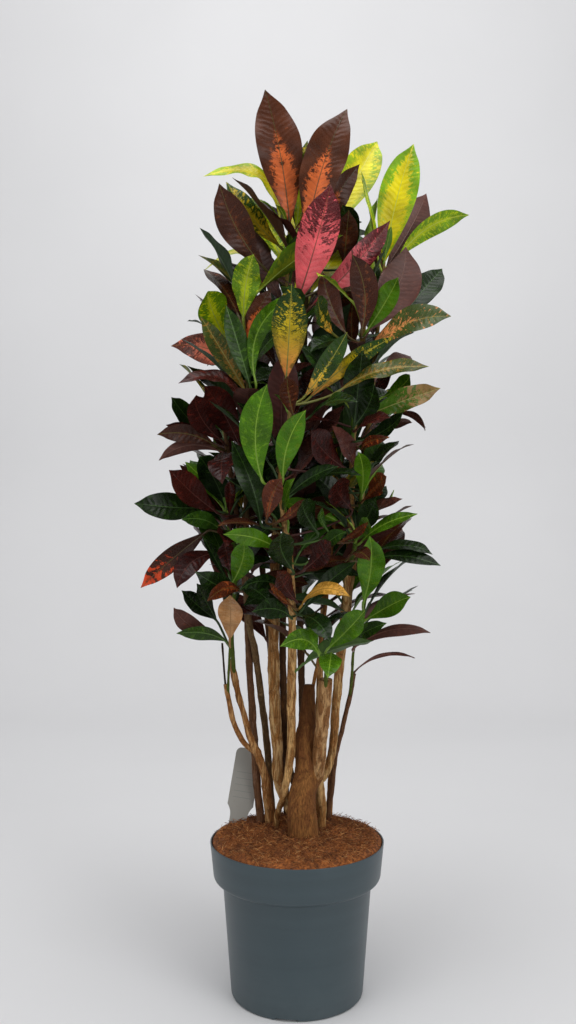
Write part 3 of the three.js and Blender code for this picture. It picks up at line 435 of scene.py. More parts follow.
        "stem": [(-31, 41, 180, 4.6), (-29, 38, 222, 4.6), (-26, 30, 242, 4.4), (-18, 17, 269, 4.6),
            (-12, 12, 303, 5.4), (-8, 10, 337, 6), (-8, 4, 391, 6.4), (-7, -4, 454, 6.3),
            (-7, -24, 532, 5.6), (-10, -52, 602, 4.6), (-18, -66, 656, 3.8), (-23, -76, 709, 3.4),
            (-15, -84, 762, 3), (-7, -92, 818, 2.5)],
    }, "leaves": {
        "stem": [
            ("fresh", -46, -105, 707, -39, -128, 829, 44, 0, 12, -3),
            ("fresh", -19, -105, 708, 10, -124, 797, 33, 10, 8, 4),
            ("rust", -41, -105, 655, -21, -160, 707, 29, 0, 6, -7),
            ("deep", -48, -80, 650, -87, -90, 760, 36, 0, -6, 4),
            ("rust", -32, -95, 651, 7, -153, 683, 14, 20, 0, -8),
            ("deep", -18, -80, 683, 51, -107, 726, 24, -20, 8, -4),
            ("deep", 6, -70, 702, 83, -102, 714, 21, -40, 10, 3),
            ("fresh", -23, -105, 617, -93, -142, 638, 25, -30, -6, 4),
            ("deep", -6, -90, 590, -18, -161, 641, 38, 0, 6, -10),
            ("moss", 14, -90, 602, 58, -142, 642, 23, -10, 6, -7),
            ("maroon", 7, -75, 590, 40, -136, 630, 31, 0, 0, -8),
            ("amber", 3, -75, 541, 66, -122, 560, 22, -25, 16, 5),
            ("deep", -10, -80, 554, -76, -125, 567, 22, -35, -16, 5),
            ("deep", -9, -75, 528, -58, -134, 541, 29, -20, -6, 6),
            ("maroon", -1, -75, 548, -23, -137, 590, 29, 0, 0, -8),
            ("rust", -2, -70, 540, -34, -130, 578, 14, 20, 0, -8),
            ("deep", 5, -60, 535, 78, -70, 601, 26, -10, 4, 3),
            ("deep", 5, -80, 531, 40, -140, 505, 30, -10, 6, 6),
            ("sunset", -15, -95, 838, -8, -153, 951, 49, 0, 0, -8),
            ("umber", -5, -105, 790, -13, -163, 832, 28, 0, 0, -8),
            ("gilded", 8, -90, 817, 64, -105, 900, 31, -10, -4, 4),
            ("sunset", 13, -95, 814, 126, -110, 895, 24, 35, 5, 4),
            ("olive", 53, -80, 824, 165, -120, 848, 30, -20, 12, 4),
            ("deep", 15, -80, 792, 75, -140, 805, 29, -30, 10, 6),
            ("maroon", 64, -55, 726, 18, -126, 769, 47, 0, 0, -10),
            ("deep", 27, -85, 639, 6, -156, 682, 34, 0, 0, -9),
            ("moss", 43, -75, 638, 31, -140, 672, 12, 0, 0, -9),
            ("maroon", 74, -50, 670, 51, -121, 708, 41, 0, 0, -10),
        ],
    }, "fills": [("stem", 10, 0.5, 0.95, 90, 330)]},
    "leafy_stem_right": {"shoots": {
        "stem": [(47, 80, 170, 4), (47, 80, 223, 4), (52, 76, 258, 3.9), (55, 72, 292, 3.8),
            (58, 68, 315, 3.8), (65, 62, 343, 3.7), (71, 55, 373, 3.6), (78, 48, 405, 3.6),
            (82, 42, 434, 3.5)],
        "shoot": [(77, 49, 399, 2.4), (79, 30, 438, 2.2), (80, 4, 476, 2), (92, -8, 528, 2),
            (97, -10, 566, 1.9), (101, -8, 603, 1.8)],
    }, "leaves": {
        "stem": [
            ("plum", 84, 45, 435, 170, 20, 459, 9, 70, 14, 3),
        ],
        "shoot": [
            ("plum", 78, -10, 477, 180, -50, 505, 23, 150, 14, 0),
            ("fresh", 90, -35, 543, 94, -95, 633, 40, 0, -6, -8),
            ("fresh", 94, -25, 519, 145, -85, 555, 35, 0, 4, -8),
            ("moss", 76, -20, 491, 117, -79, 521, 23, -10, 0, 6),
            ("deep", 104, -15, 603, 194, -45, 593, 27, -25, 8, 3),
            ("deep", 104, -5, 611, 185, -36, 611, 23, -30, 10, 3),
        ],
    }, "fills": [("shoot", 4, 0.5, 0.95, 40, 120)]},
    "leafy_stem_far_right": {"shoots": {
        "stem": [(46, 98, 167, 5.4), (49, 98, 224, 5.4), (52, 94, 265, 5.2), (54, 86, 328, 5.1),
            (60, 76, 390, 5), (69, 64, 480, 4.9), (83, 52, 597, 4.6), (97, 42, 728, 4.2),
            (109, 32, 856, 3.8), (118, 25, 969, 3.2), (124, 22, 1022, 2.6)],
    }, "leaves": {
        "stem": [
            ("split", 124, 10, 1019, 166, 0, 1191, 58, 0, 4, 6),
            ("lime", 116, 15, 1020, 84, -56, 1124, 35, 62, -6, -10),
            ("lime", 143, 40, 1027, 258, 99, 1112, 34, 50, 14, 8),
            ("plum", 127, 30, 1016, 197, 101, 1150, 48, 180, -6, 10),
        ],
    }, "fills": [("stem", 16, 0.45, 0.95, 30, 170)]},
    "leafy_stem_back": {"shoots": {
        "stem": [(10, 88, 170, 5.6), (10, 88, 221, 5.6), (10, 86, 314, 5.4), (8, 82, 403, 5.2),
            (5, 82, 507, 5), (1, 86, 625, 4.8), (-5, 92, 759, 4.4), (-2, 95, 894, 4),
            (5, 88, 997, 3.4), (15, 76, 1074, 2.8)],
        "slant": [(8, 86, 311, 3), (14, 78, 357, 2.8), (24, 64, 412, 2.8), (32, 52, 457, 2.7),
            (42, 34, 541, 2.6), (51, 14, 642, 2.5), (57, -6, 739, 2.3)],
    }, "leaves": {}, "fills": [("stem", 20, 0.42, 0.99, 90, 260),
        ("slant", 12, 0.42, 0.97, -50, 260)]},
    "leafy_stem_back_left": {"shoots": {
        "stem": [(-12, 104, 172, 5), (-14, 104, 221, 5), (-24, 106, 330, 4.8), (-40, 106, 470, 4.6),
            (-54, 104, 620, 4.3), (-60, 98, 770, 4), (-58, 88, 900, 3.5), (-46, 72, 1010, 2.8)],
    }, "leaves": {}, "fills": [("stem", 18, 0.42, 0.99, 130, 230)]},
    "leafy_stem_back_right": {"shoots": {
        "stem": [(29, 104, 172, 5), (30, 106, 221, 5), (32, 110, 330, 4.8), (38, 114, 470, 4.6),
            (46, 112, 620, 4.3), (54, 104, 770, 4), (60, 92, 900, 3.5), (62, 74, 1010, 2.8)],
    }, "leaves": {}, "fills": [("stem", 20, 0.42, 0.99, 55, 230)]},
}


# ---- growing the plant ----
def shoot_curve(points, along):
    """A point on the smooth line through a shoot's points, with its ends drawn on straight."""
    place = along * (len(points) - 1)
    before = min(int(place), len(points) - 2)
    share = place - before
    here, there = points[before], points[before + 1]
    last = points[before - 1] if before else 2 * here - there
    after = points[before + 2] if before + 2 < len(points) else 2 * there - here
    leave, arrive = (there - last) / 2, (after - here) / 2
    square, cube = share ** 2, share ** 3
    return (here + leave * share + (3 * (there - here) - 2 * leave - arrive) * square
            + (2 * (here - there) + leave + arrive) * cube)


def shoot_steps(points):
    """How many straight stretches the shoot's solid has."""
    places = [shoot_curve(points, i / CURVE_PLACES) for i in range(CURVE_PLACES + 1)]
    length = sum((b - a).length for a, b in zip(places, places[1:]))
    return max(len(points) - 1, math.ceil(length / STEM_STEP))


class Shoot:
    """One shoot: its points, its radii and the straight stretches that leaves grow from."""

    def __init__(self, rows):
        self.points = [Vector(row[:3]) for row in rows]
        self.radii = [row[3] for row in rows]
        steps = shoot_steps(self.points)
        self.rings = [shoot_curve(self.points, i / steps) for i in range(steps + 1)]

    def place(self, along):
        steps = len(self.rings) - 1
        before = min(int(along * steps), steps - 1)
        return self.rings[before].lerp(self.rings[before + 1], along * steps - before)

    def radius(self, along):
        place = along * (len(self.radii) - 1)
        before = min(int(place), len(self.radii) - 2)
        share = place - before
        return self.radii[before] * (1 - share) + self.radii[before + 1] * share


class Leaf:
    """A leaf's root, blade base and tip, with its width, roll, bow, arch and facing."""

    def __init__(self, root, base, tip, width, roll, bow, arch, facing):
        self.root, self.base, self.tip = root, base, tip
        self.width, self.roll, self.bow, self.arch = width, roll, bow, arch
        self.facing = facing

    def settle(self):
        """Works out the midrib's bend and the way the blade faces."""
        chord = self.tip - self.base
        self.ahead = chord.normalized()
        facing = (self.facing - self.ahead * self.facing.dot(self.ahead)).normalized()
        left = facing.cross(self.ahead)
        self.middle = self.base + chord / 2 + left * 2 * self.bow + facing * 2 * self.arch
        self.rolled = Quaternion(self.ahead, math.radians(self.roll)) @ facing

    def midrib(self, along):
        back = 1 - along
        return (self.base * back ** 2 + self.middle * 2 * back * along + self.tip * along ** 2)

    def axes(self, along):
        """The midrib's direction, the blade's upper side and the side to its right."""
        back = 1 - along
        tangent = (self.middle - self.base) * back + (self.tip - self.middle) * along
        tangent.normalize()
        up = (self.rolled - tangent * self.rolled.dot(tangent)).normalized()
        return tangent, up, up.cross(tangent)


def blade_width(along):
    return math.sin(math.pi * along ** 1.27) ** 0.82


def petiole_root(shoot, base):
    """The place on a shoot that a petiole grows from."""
    aim = base - Vector((0, 0, PETIOLE_DROP))
    places = [shoot.place(0)]
    places += [shoot.place(i / ROOT_PLACES * ROOT_END) for i in range(1, ROOT_PLACES + 1)]
    return min(places, key=lambda place: (place - aim).length)


def front_tries(row):
    """The small swings of a listed leaf, in the order in which they are tried."""
    bx, by, bz, tx, ty, tz, width, roll, bow, arch = row
    for depth in FRONT_DEPTHS:
        for lean in (0.5, 0, 1):
            for turn in FRONT_TURNS:
                base = Vector((bx, by + depth * lean, bz))
                tip = Vector((tx, ty + depth, tz))
                yield Leaf(None, base, tip, width, roll + turn, bow, arch, Vector(FRONT_FACING))


def steady_draws(seed):
    """Numbers from 0 to 1 that look drawn at random and are the same in each run."""
    state = seed
    while True:
        state = state * 16807 % 2147483647
        yield state / 2147483647


def direction(heading, rise):
    level, turn = math.cos(math.radians(rise)), math.radians(heading)
    return Vector((level * math.cos(turn), level * math.sin(turn), math.sin(math.radians(rise))))


def skyward(heading):
    """The way a leaf that grows out at this heading faces: up, and a little back to its stem."""
    return direction(heading, 0) * -0.4 + Vector((0, 0, 1))


def fill_tries(shoot, fill, index, draws):
    """A leaf by rule: a turn of the golden angle from the last, steeper towards the tip."""
    _, count, start, end, heading, spread = fill
    draw_turn, draw_rise, draw_length, draw_width = draws
    level = (index + 0.5) / count
    root = shoot.place(start + (end - start) * level)
    golden = (index * GOLDEN / 360) % 1
    home_turn = heading + spread * (golden - 0.5) + FILL_WANDER * (draw_turn - 0.5)
    home_rise = FILL_RISE + FILL_RISE_TOP * level ** 2 + FILL_WANDER * (draw_rise - 0.5)
    roll = 2 * FILL_WANDER * (draw_turn - 0.5)
    slimness = FILL_SLIMNESS + FILL_SLIMNESS_SPREAD * draw_width
    for size in FILL_SIZES:
        length = size * (FILL_LENGTH + FILL_LENGTH_SPREAD * draw_length)
        for swing in FILL_SWINGS:
            for lift in FILL_LIFTS:
                turn, rise = home_turn + swing, home_rise + lift
                base = root + direction(turn, rise + FILL_PETIOLE_RISE) * FILL_PETIOLE
                tip = base + direction(turn, rise) * length
                width = length * slimness
                yield Leaf(root, base, tip, width, roll, 0, FILL_ARCH, skyward(turn))


def corners_found(leaf, solid):
    """How many corners of a leaf's sections lie on its stem's solid."""
    leaf.settle()
    found = 0
    for along in SECTION_PLACES:
        centre = leaf.midrib(along)
        _, up, side = leaf.axes(along)
        half = leaf.width / 2 * blade_width(along)
        for corner in (centre + side * half, centre - side * half, centre - up * LEAF_KEEL):
            found += solid.find(corner)[2] < SEAT
    return found


def grown_leaf(tries, solid):
    """The try that the stem's solid holds, or None where no leaf found room there."""
    best, most = None, 1
    for leaf in tries:
        if solid.find(leaf.tip)[2] > SEAT:
            continue
        found = corners_found(leaf, solid)
        if found > most:
            best, most = leaf, found
    return best


def corner_tree(stem):
    """A search tree over the corners of a stem's solid, in mm."""
    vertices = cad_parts[stem].data.vertices
    tree = KDTree(len(vertices))
    for number, vertex in enumerate(vertices):
        tree.insert(vertex.co / MM, number)
    tree.balance()
    return tree


def leaves_of(name, number, plant, shoots):
    """Every leaf of one leafy stem, as kind, leaf and whether it was listed."""
    solid = corner_tree(name)
    grown = []
    for shoot_name, rows in plant["leaves"].items():
        for kind, *row in rows:
            leaf = grown_leaf(front_tries(row), solid)
            if leaf:
                leaf.root = petiole_root(shoots[shoot_name], leaf.base)
                grown.append((kind, leaf, True))
    draw = steady_draws(SEED + 1000 * number)
    choose = random.Random(number)
    for fill in plant["fills"]:
        for index in range(fill[1]):
            draws = [next(draw) for _ in range(4)]
            leaf = grown_leaf(fill_tries(shoots[fill[0]], fill, index, draws), solid)
            share = choose.random()
            if leaf:
                kinds = next(kinds for top, kinds in FILL_KINDS if leaf.root.z < top)
                grown.append((kinds[int(share * len(kinds))], leaf, False))
    return grown


# ---- leaves inside the crown ----
def blade_patch(leaf):
    """A coarse copy of a blade, as points and faces."""
    points, faces = [], []
    for along in PATCH_PLACES:
        centre = leaf.midrib(along)
        _, _, side = leaf.axes(along)
        half = leaf.width / 2 * blade_width(along)
        points += [centre - side * half, centre, centre + side * half]
    for first in range(0, len(points) - 3, 3):
        for k in (0, 1):
            faces.append((first + k, first + k + 1, first + k + 4, first + k + 3))
    return points, faces


def joined_tree(patches):
    """One search tree over several lots of points and faces."""
    points, faces = [], []
    for more, rows in patches:
        faces += [[len(points) + corner for corner in row] for row in rows]
        points += more
    return BVHTree.FromPolygons(points, faces)


class Crown:
    """The leaves and stems grown so far, and where there is room for more leaves among them."""

    def __init__(self, grown):
        nodes = [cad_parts[name].data for name in PLANTS]
        self.solid = joined_tree([([vertex.co / MM for vertex in mesh.vertices],
                                   [polygon.vertices for polygon in mesh.polygons])
                                  for mesh in nodes])
        self.seen = joined_tree([blade_patch(leaf) for _, leaf, by_eye in grown if by_eye])
        self.added, self.reach = [], {}
        for _, leaf, _ in grown:
            for point in blade_patch(leaf)[0]:
                key, radius = self.sector(point)
                self.reach[key] = max(radius, self.reach.get(key, 0))

    def sector(self, point):
        x, y = point.x - CROWN_MIDDLE[0], point.y - CROWN_MIDDLE[1]
        turn = int((math.atan2(y, x) / math.pi + 1) * CROWN_SECTORS / 2) % CROWN_SECTORS
        return (int(point.z / CROWN_BAND), turn), math.hypot(x, y)

    def inside(self, point):
        (band, turn), radius = self.sector(point)
        near = [self.reach.get((band, (turn + side) % CROWN_SECTORS), 0) for side in (-1, 0, 1)]
        return radius < CROWN_SHARE * min(near[1], (near[0] + near[2]) / 2)

    def openness(self, leaf):
        """How many of a leaf's points stand in a gap in the crown, or None where it can't grow."""
        points, faces = blade_patch(leaf)
        if not all(self.inside(point) for point in points):
            return None
        tree = BVHTree.FromPolygons(points, faces)
        if tree.overlap(self.solid) or any(tree.overlap(other) for other in self.added):
            return None
        count = hides = 0
        for point in points:
            look = (point - EYE).normalized()
            hides += self.seen.ray_cast(point, look)[0] is not None
            others = [self.solid] + self.added
            count += all(other.ray_cast(EYE, look)[0] is None for other in others)
        return None if hides > MOST_HIDING else count

    def fill(self, shoots, chance):
        """The best of several tries at one more leaf, or None."""
        best, most = None, -1
        for _ in range(INNER_TRIES):
            name, shoot = chance.choice(shoots)
            root = shoot.place(chance.uniform(*INNER_ROOTS))
            turn, rise = chance.uniform(0, 360), chance.uniform(*INNER_RISES)
            length = chance.uniform(*INNER_LENGTHS)
            base = root + direction(turn, rise + FILL_PETIOLE_RISE) * FILL_PETIOLE
            facing = Vector((0, -chance.uniform(*INNER_FACINGS), 1))
            leaf = Leaf(root, base, base + direction(turn, rise) * length,
                        length * chance.uniform(*INNER_SLIMNESS), chance.uniform(*INNER_ROLLS), 0,
                        FILL_ARCH, facing)
            leaf.settle()
            if root.z < INNER_LOWEST:
                continue
            found = self.openness(leaf)
            if found is not None and found > most:
                best, most = (name, leaf), found
        if best:
            self.added.append(BVHTree.FromPolygons(*blade_patch(best[1])))
        return best

    def buds(self, shoot, chance):
        """The youngest leaves at a shoot's end: small, steep and a third of a turn apart."""
        heading = chance.uniform(0, 360)
        for number in range(BUD_COUNT):
            turn, rise = heading + GOLDEN * number, chance.uniform(*BUD_RISES)
            length = chance.uniform(*BUD_LENGTHS)
            root = shoot.place(1 - BUD_SPACING * number)
            base = root + direction(turn, rise + FILL_PETIOLE_RISE) * length * 0.25
            leaf = Leaf(root, base, base + direction(turn, rise) * length, length * 0.3, 0, 0,
                        FILL_ARCH / 3, skyward(turn))
            leaf.settle()
            tree = BVHTree.FromPolygons(*blade_patch(leaf))
            if leaf.tip.z < BUD_HIGHEST and not tree.overlap(self.solid):
                yield leaf


# ---- gathering a piece ----
VECTORS = ("surface_mm", "surface_share", "marks_a", "marks_b")
TONES = ("tone_ground", "tone_mark", "tone_vein", "tone_rib", "tone_under")
NO_MARKS = ((0, 0, 0), (0, 0, 0))


def placed(name, data):
    """A new object in the scene."""
    made = bpy.data.objects.new(name, data)
    bpy.context.scene.collection.objects.link(made)
    return made


def linear(hex_code):
    """An sRGB hex colour as linear red, green, blue and a full alpha."""
    parts = [int(hex_code[i:i + 2], 16) / 255 for i in (1, 3, 5)]
    return [c / 12.92 if c <= 0.04045 else ((c + 0.055) / 1.055) ** 2.4 for c in parts] + [1.0]


def tinted(colour, chance, spread):
    """The colour a little lighter or darker, warmer or cooler."""
    light = 1 + chance.uniform(-spread, spread)
    warm = 1 + chance.uniform(-spread, spread) * 0.4
    return [colour[0] * light * warm, colour[1] * light, colour[2] * light / warm, colour[3]]


class Gathered:
    """The points, faces and values of one piece while it grows."""

    def __init__(self):
        self.points, self.faces, self.finishes, self.sharp = [], [], [], []
        self.values = {name: [] for name in VECTORS + TONES}

    def add(self, points, faces, finish, tones, marks, places, shares, sharp=()):
        """Adds points with their places in mm, their shares and one set of tones and marks."""
        first = len(self.points)
        self.points += [point * MM for point in points]
        self.faces += [tuple(first + corner for corner in face) for face in faces]
        self.finishes += [finish] * len(faces)
        self.sharp += [first + number for number in sharp]
        self.values["surface_mm"] += places
        self.values["surface_share"] += shares
        for name, value in zip(TONES, tones):
            self.values[name] += [value] * len(points)
        for name, value in zip(("marks_a", "marks_b"), marks):
            self.values[name] += [value] * len(points)

    def mesh(self, name, finishes):
        mesh = bpy.data.meshes.new(name)
        mesh.from_pydata(self.points, [], self.faces)
        for finish in finishes:
            mesh.materials.append(finish)
        mesh.polygons.foreach_set("material_index", self.finishes)
        for key, rows in self.values.items():
            kind = "FLOAT_COLOR" if key in TONES else "FLOAT_VECTOR"
            attribute = mesh.attributes.new(key, kind, "POINT")
            flat = [number for row in rows for number in row]
            attribute.data.foreach_set("color" if key in TONES else "vector", flat)
        mesh.shade_smooth()
        rim = set(self.sharp)
        for edge in mesh.edges:
            if edge.vertices[0] in rim and edge.vertices[1] in rim:
                edge.use_edge_sharp = True
        mesh.update()
        return mesh


# ---- leaf blades ----
def smooth_step(low, high, value):
    share = min(1, max(0, (value - low) / (high - low)))
    return share * share * (3 - 2 * share)


def outline(along):
    """Half width over the greatest half width: an oval that draws out into the tip."""
    return blade_width(along) * (1 - 0.42 * smooth_step(0.84, 1, along))


def leaf_tones(kind, chance):
    ground, mark, vein, rib, under = [linear(hex_code) for hex_code in LEAF_KINDS[kind][:5]]
    ground, mark = tinted(ground, chance, 0.2), tinted(mark, chance, 0.15)
    vein[3], mark[3] = LEAF_KINDS[kind][5:7]
    return [ground, mark, vein, rib, tinted(under, chance, 0.15)]


def add_blade(piece, leaf, rows, tones, marks, chance):
    """A thin blade with a trough along its midrib, side veins sunk in and a waved margin."""
    length = (leaf.tip - leaf.base).length
    seed = chance.uniform(0, 900)
    trough = chance.uniform(*TROUGHS)
    wave = chance.uniform(*WAVES) * leaf.width
    turns = chance.uniform(*WAVE_TURNS)
    phases = [chance.uniform(0, 2 * math.pi) for _ in range(2)]
    hook = chance.uniform(*HOOKS)
    upper, lower, places, shares, rim = [], [], [], [], []
    for i in range(rows):
        along = i / rows
        centre = leaf.midrib(along)
        _, up, side = leaf.axes(along)
        half = max(leaf.width / 2 * outline(along), BLADE_FOOT)
        curl = hook * max(0, along - TIP_FROM) ** 2 * TIP_BEND
        for share in BLADE_COLUMNS:
            out = abs(share) * half
            rise = along * length - VEIN_LEAN * out
            swell = VEIN_SWELL * math.sin(math.pi * ((rise / VEIN_SPACING) % 1))
            swell *= (1 - share ** 2) * min(1, out / 6)
            phase = phases[0 if share < 0 else 1]
            ripple = wave * share ** 2 * math.sin(2 * math.pi * turns * along + phase)
            ripple *= smooth_step(0, 0.25, along) * smooth_step(1, 0.8, along)
            lift = trough * out ** 1.15 * 0.6 - MIDRIB_SINK + swell + ripple - curl
            point = centre + side * share * half * (1 - 0.3 * trough) + up * lift
            inner = abs(share) < 1 and i > 0
            upper.append(point + up * (BLADE_THICKNESS / 2 if inner else 0))
            lower.append(point - up * (BLADE_THICKNESS / 2 if inner else 0))
            places.append((share * half, along * length, seed))
            shares.append((share, along))
            if not inner:
                rim.append(len(upper) - 1)
    count, columns = len(upper), len(BLADE_COLUMNS)
    _, up, _ = leaf.axes(1)
    tip = leaf.tip - up * (MIDRIB_SINK + hook * (1 - TIP_FROM) ** 2 * TIP_BEND)
    kept = sorted(set(range(count)) - set(rim))
    below = {number: number for number in rim + [count]}
    below.update((number, count + 1 + order) for order, number in enumerate(kept))
    points = upper + [tip] + [lower[number] for number in kept]
    all_places = places + [(0, length, seed)] + [places[number] for number in kept]
    all_shares = [(share, along, 0) for share, along in shares] + [(0, 1, 0)]
    all_shares += [(shares[number][0], shares[number][1], 1) for number in kept]
    faces = []
    for i in range(rows - 1):
        for j in range(columns - 1):
            here, beside = i * columns + j, i * columns + j + 1
            ahead, across = here + columns, beside + columns
            faces.append((here, ahead, across, beside))
            faces.append((below[here], below[beside], below[across], below[ahead]))
    last = (rows - 1) * columns
    for j in range(columns - 1):
        faces.append((last + j, count, last + j + 1))
        faces.append((below[last + j], below[last + j + 1], count))
    piece.add(points, faces, 0, tones, marks, all_places, all_shares, rim + [count])


def ring_faces(first, sides):
    """The faces between a ring of points and the next one."""
    return [(first + k, first + (k + 1) % sides, first + sides + (k + 1) % sides,
             first + sides + k) for k in range(sides)]


def add_stalk(piece, leaf, tones, marks, chance):
    """The petiole from the shoot to the blade, and its run on as the midrib under the blade."""
    reach = (leaf.base - leaf.root).length
    start = (leaf.base - leaf.root).normalized() + Vector((0, 0, -0.35))
    tangent, up, _ = leaf.axes(0)
    leave, arrive = start * reach * 0.7, tangent * reach * 0.6
    girth = 0.8 + leaf.width / 110
    line = []
    for i in range(7):
        share = i / 6
        square, cube = share ** 2, share ** 3
        centre = (leaf.root * (2 * cube - 3 * square + 1) + leave * (cube - 2 * square + share)
                  + leaf.base * (3 * square - 2 * cube) + arrive * (cube - square))
        knee = 1.25 if i in (0, 6) else 1
        line.append((centre - up * MIDRIB_SINK * share, 1.45 * girth * knee, 0))
    for i in range(1, 12):
        along = i / 12
        _, over, _ = leaf.axes(along)
        radius = girth * (1.15 - 0.95 * along)
        sink = MIDRIB_SINK + radius * 0.45
        line.append((leaf.midrib(along) - over * sink, radius, along))
    sides, points, places, shares = STALK_SIDES, [], [], []
    seed = chance.random() * 40
    walked, last = 0, line[0][0]
    across = tangent.orthogonal().normalized()
    for number, (centre, radius, along) in enumerate(line):
        after = line[min(number + 1, len(line) - 1)][0] - line[max(number - 1, 0)][0]
        after.normalize()
        across = (across - after * across.dot(after)).normalized()
        over = after.cross(across)
        walked += (centre - last).length
        last = centre
        for k in range(sides):
            turn = 2 * math.pi * k / sides
            points.append(centre + across * math.cos(turn) * radius
                          + over * math.sin(turn) * radius)
            places.append((k / sides * 2 * math.pi * radius, walked, seed))
            shares.append((k / sides, along, 0))
    faces = [tuple(range(sides))[::-1]]
    for ring in range(len(line) - 1):
        faces += ring_faces(ring * sides, sides)
    faces.append(tuple(len(points) - sides + k for k in range(sides)))
    piece.add(points, faces, 1, tones, marks, places, shares)


# ---- node helper and bark tubes ----
def node(tree, kind, inputs=None, **settings):
    """Adds one node with its settings, and fills or links its inputs by number or name."""
    made = tree.nodes.new(kind)
    for name, value in settings.items():
        setattr(made, name, value)
    for key, value in (inputs or {}).items():
        if isinstance(key, int):
            socket = made.inputs[key]
        else:
            socket = next(s for s in made.inputs if s.enabled and s.name == key)
        if isinstance(value, bpy.types.Node):
            value = next(s for s in value.outputs if s.enabled)
        if isinstance(value, bpy.types.NodeSocket):
            tree.links.new(value, socket)
        else:
            socket.default_value = value
    return made


def shape_tree(name, sizes):
    """A Geometry Nodes tree with named sizes and nothing in it yet, and what it is given."""
    tree = bpy.data.node_groups.new(name, "GeometryNodeTree")
    sides = {"in_out": "INPUT", "socket_type": "NodeSocketGeometry"}
    tree.interface.new_socket("Geometry", **sides)
    for size, (kind, value) in sizes.items():
        socket = tree.interface.new_socket(size, in_out="INPUT", socket_type="NodeSocket" + kind)
        socket.default_value = value
    tree.interface.new_socket("Geometry", in_out="OUTPUT", socket_type="NodeSocketGeometry")
    return tree, node(tree, "NodeGroupInput").outputs


def grown_mesh(obj, tree, sizes):
    """The mesh that a Geometry Nodes tree makes from an object, with its inputs set by name."""
    modifier = obj.modifiers.new("growth", "NODES")
    modifier.node_group = tree
    for item in tree.interface.items_tree:
        if item.in_out == "INPUT" and item.name in sizes:
            modifier[item.identifier] = sizes[item.name]
    obj.update_tag()
    bpy.context.view_layer.update()
    evaluated = obj.evaluated_get(bpy.context.evaluated_depsgraph_get())
    mesh = bpy.data.meshes.new_from_object(evaluated)
    obj.modifiers.remove(modifier)
    return mesh


def bark_tree():
    """A tube round each line, ringed at its old leaf scars and a little knotty all over."""
    tree, given = shape_tree("bark_tube", {
        "Ring spacing": ("Float", 5 * MM), "Sides": ("Int", 12), "Scar spacing": ("Float", 19 * MM),
        "Scar height": ("Float", 0.35 * MM), "Knot height": ("Float", 0.6 * MM),
        "Knot size": ("Float", 16 * MM), "Seed": ("Float", 0.0),
        "Bark": ("Material", None),
    })
    line = node(tree, "GeometryNodeResampleCurve",
                {"Curve": given["Geometry"], "Length": given["Ring spacing"]}, mode="LENGTH")
    run = node(tree, "GeometryNodeSplineParameter")
    line = node(tree, "GeometryNodeStoreNamedAttribute",
                {"Geometry": line, "Name": "run", "Value": run.outputs["Length"]})
    ring = node(tree, "GeometryNodeCurvePrimitiveCircle", {"Resolution": given["Sides"]})
    ring = node(tree, "GeometryNodeStoreNamedAttribute",
                {"Geometry": ring, "Name": "turn", "Value": run.outputs["Factor"]})
    girth = node(tree, "GeometryNodeInputRadius")
    tube = node(tree, "GeometryNodeCurveToMesh",
                {"Curve": line, "Profile Curve": ring, "Scale": girth, "Fill Caps": True})
    run_back = node(tree, "GeometryNodeInputNamedAttribute", {"Name": "run"})
    place = node(tree, "GeometryNodeInputPosition")
    seeded = node(tree, "ShaderNodeVectorMath",
                  {0: place, 1: node(tree, "ShaderNodeCombineXYZ", {"Z": given["Seed"]})},
                  operation="ADD")
    size = node(tree, "ShaderNodeMath", {0: 1.0, 1: given["Knot size"]}, operation="DIVIDE")
    knots = node(tree, "ShaderNodeTexNoise", {"Vector": seeded, "Scale": size, "Detail": 2.0})
    knots = node(tree, "ShaderNodeMath", {0: knots, 1: 0.5}, operation="SUBTRACT")
    knots = node(tree, "ShaderNodeMath", {0: knots, 1: given["Knot height"]}, operation="MULTIPLY")
    knots = node(tree, "ShaderNodeMath", {0: knots, 1: 4.0}, operation="MULTIPLY")
    stray = node(tree, "ShaderNodeTexNoise", {"Vector": seeded, "Scale": 45.0, "Detail": 0.0})
    stray = node(tree, "ShaderNodeMath", {0: stray, 1: 70 * MM}, operation="MULTIPLY")
    strayed = node(tree, "ShaderNodeMath", {0: run_back, 1: stray}, operation="ADD")
    half = node(tree, "ShaderNodeMath", {0: given["Scar spacing"], 1: 0.5}, operation="MULTIPLY")
    scar = node(tree, "ShaderNodeMath", {0: strayed, 1: half}, operation="PINGPONG")
    scar = node(tree, "ShaderNodeMapRange",
                {"Value": scar, "From Max": 3.2 * MM,
                 "To Min": 1.0, "To Max": 0.0}, interpolation_type="SMOOTHSTEP")
    scar = node(tree, "ShaderNodeMath", {0: scar, 1: given["Scar height"]}, operation="MULTIPLY")
    relief = node(tree, "ShaderNodeMath", {0: knots, 1: scar}, operation="ADD")
    outward = node(tree, "ShaderNodeVectorMath",
                   {0: node(tree, "GeometryNodeInputNormal"), "Scale": relief}, operation="SCALE")
    tube = node(tree, "GeometryNodeSetPosition", {"Geometry": tube, "Offset": outward})
    tube = node(tree, "GeometryNodeRealizeInstances", {"Geometry": tube})
    tube = node(tree, "GeometryNodeSetMaterial", {"Geometry": tube, "Material": given["Bark"]})
    node(tree, "NodeGroupOutput", {"Geometry": tube})
    return tree


def bark_line(shoot, step):
    """A shoot's centre line as a curve with its radius at every point."""
    count = max(4, round((shoot.points[-1] - shoot.points[0]).length / step))
    curve = bpy.data.curves.new("shoot_line", "CURVE")
    curve.dimensions = "3D"
    spline = curve.splines.new("POLY")
    spline.points.add(count)
    for i, point in enumerate(spline.points):
        along = i / count
        point.co = (*(shoot_curve(shoot.points, along) * MM), 1)
        point.radius = shoot.radius(along) * MM
    return placed("shoot_line", curve)


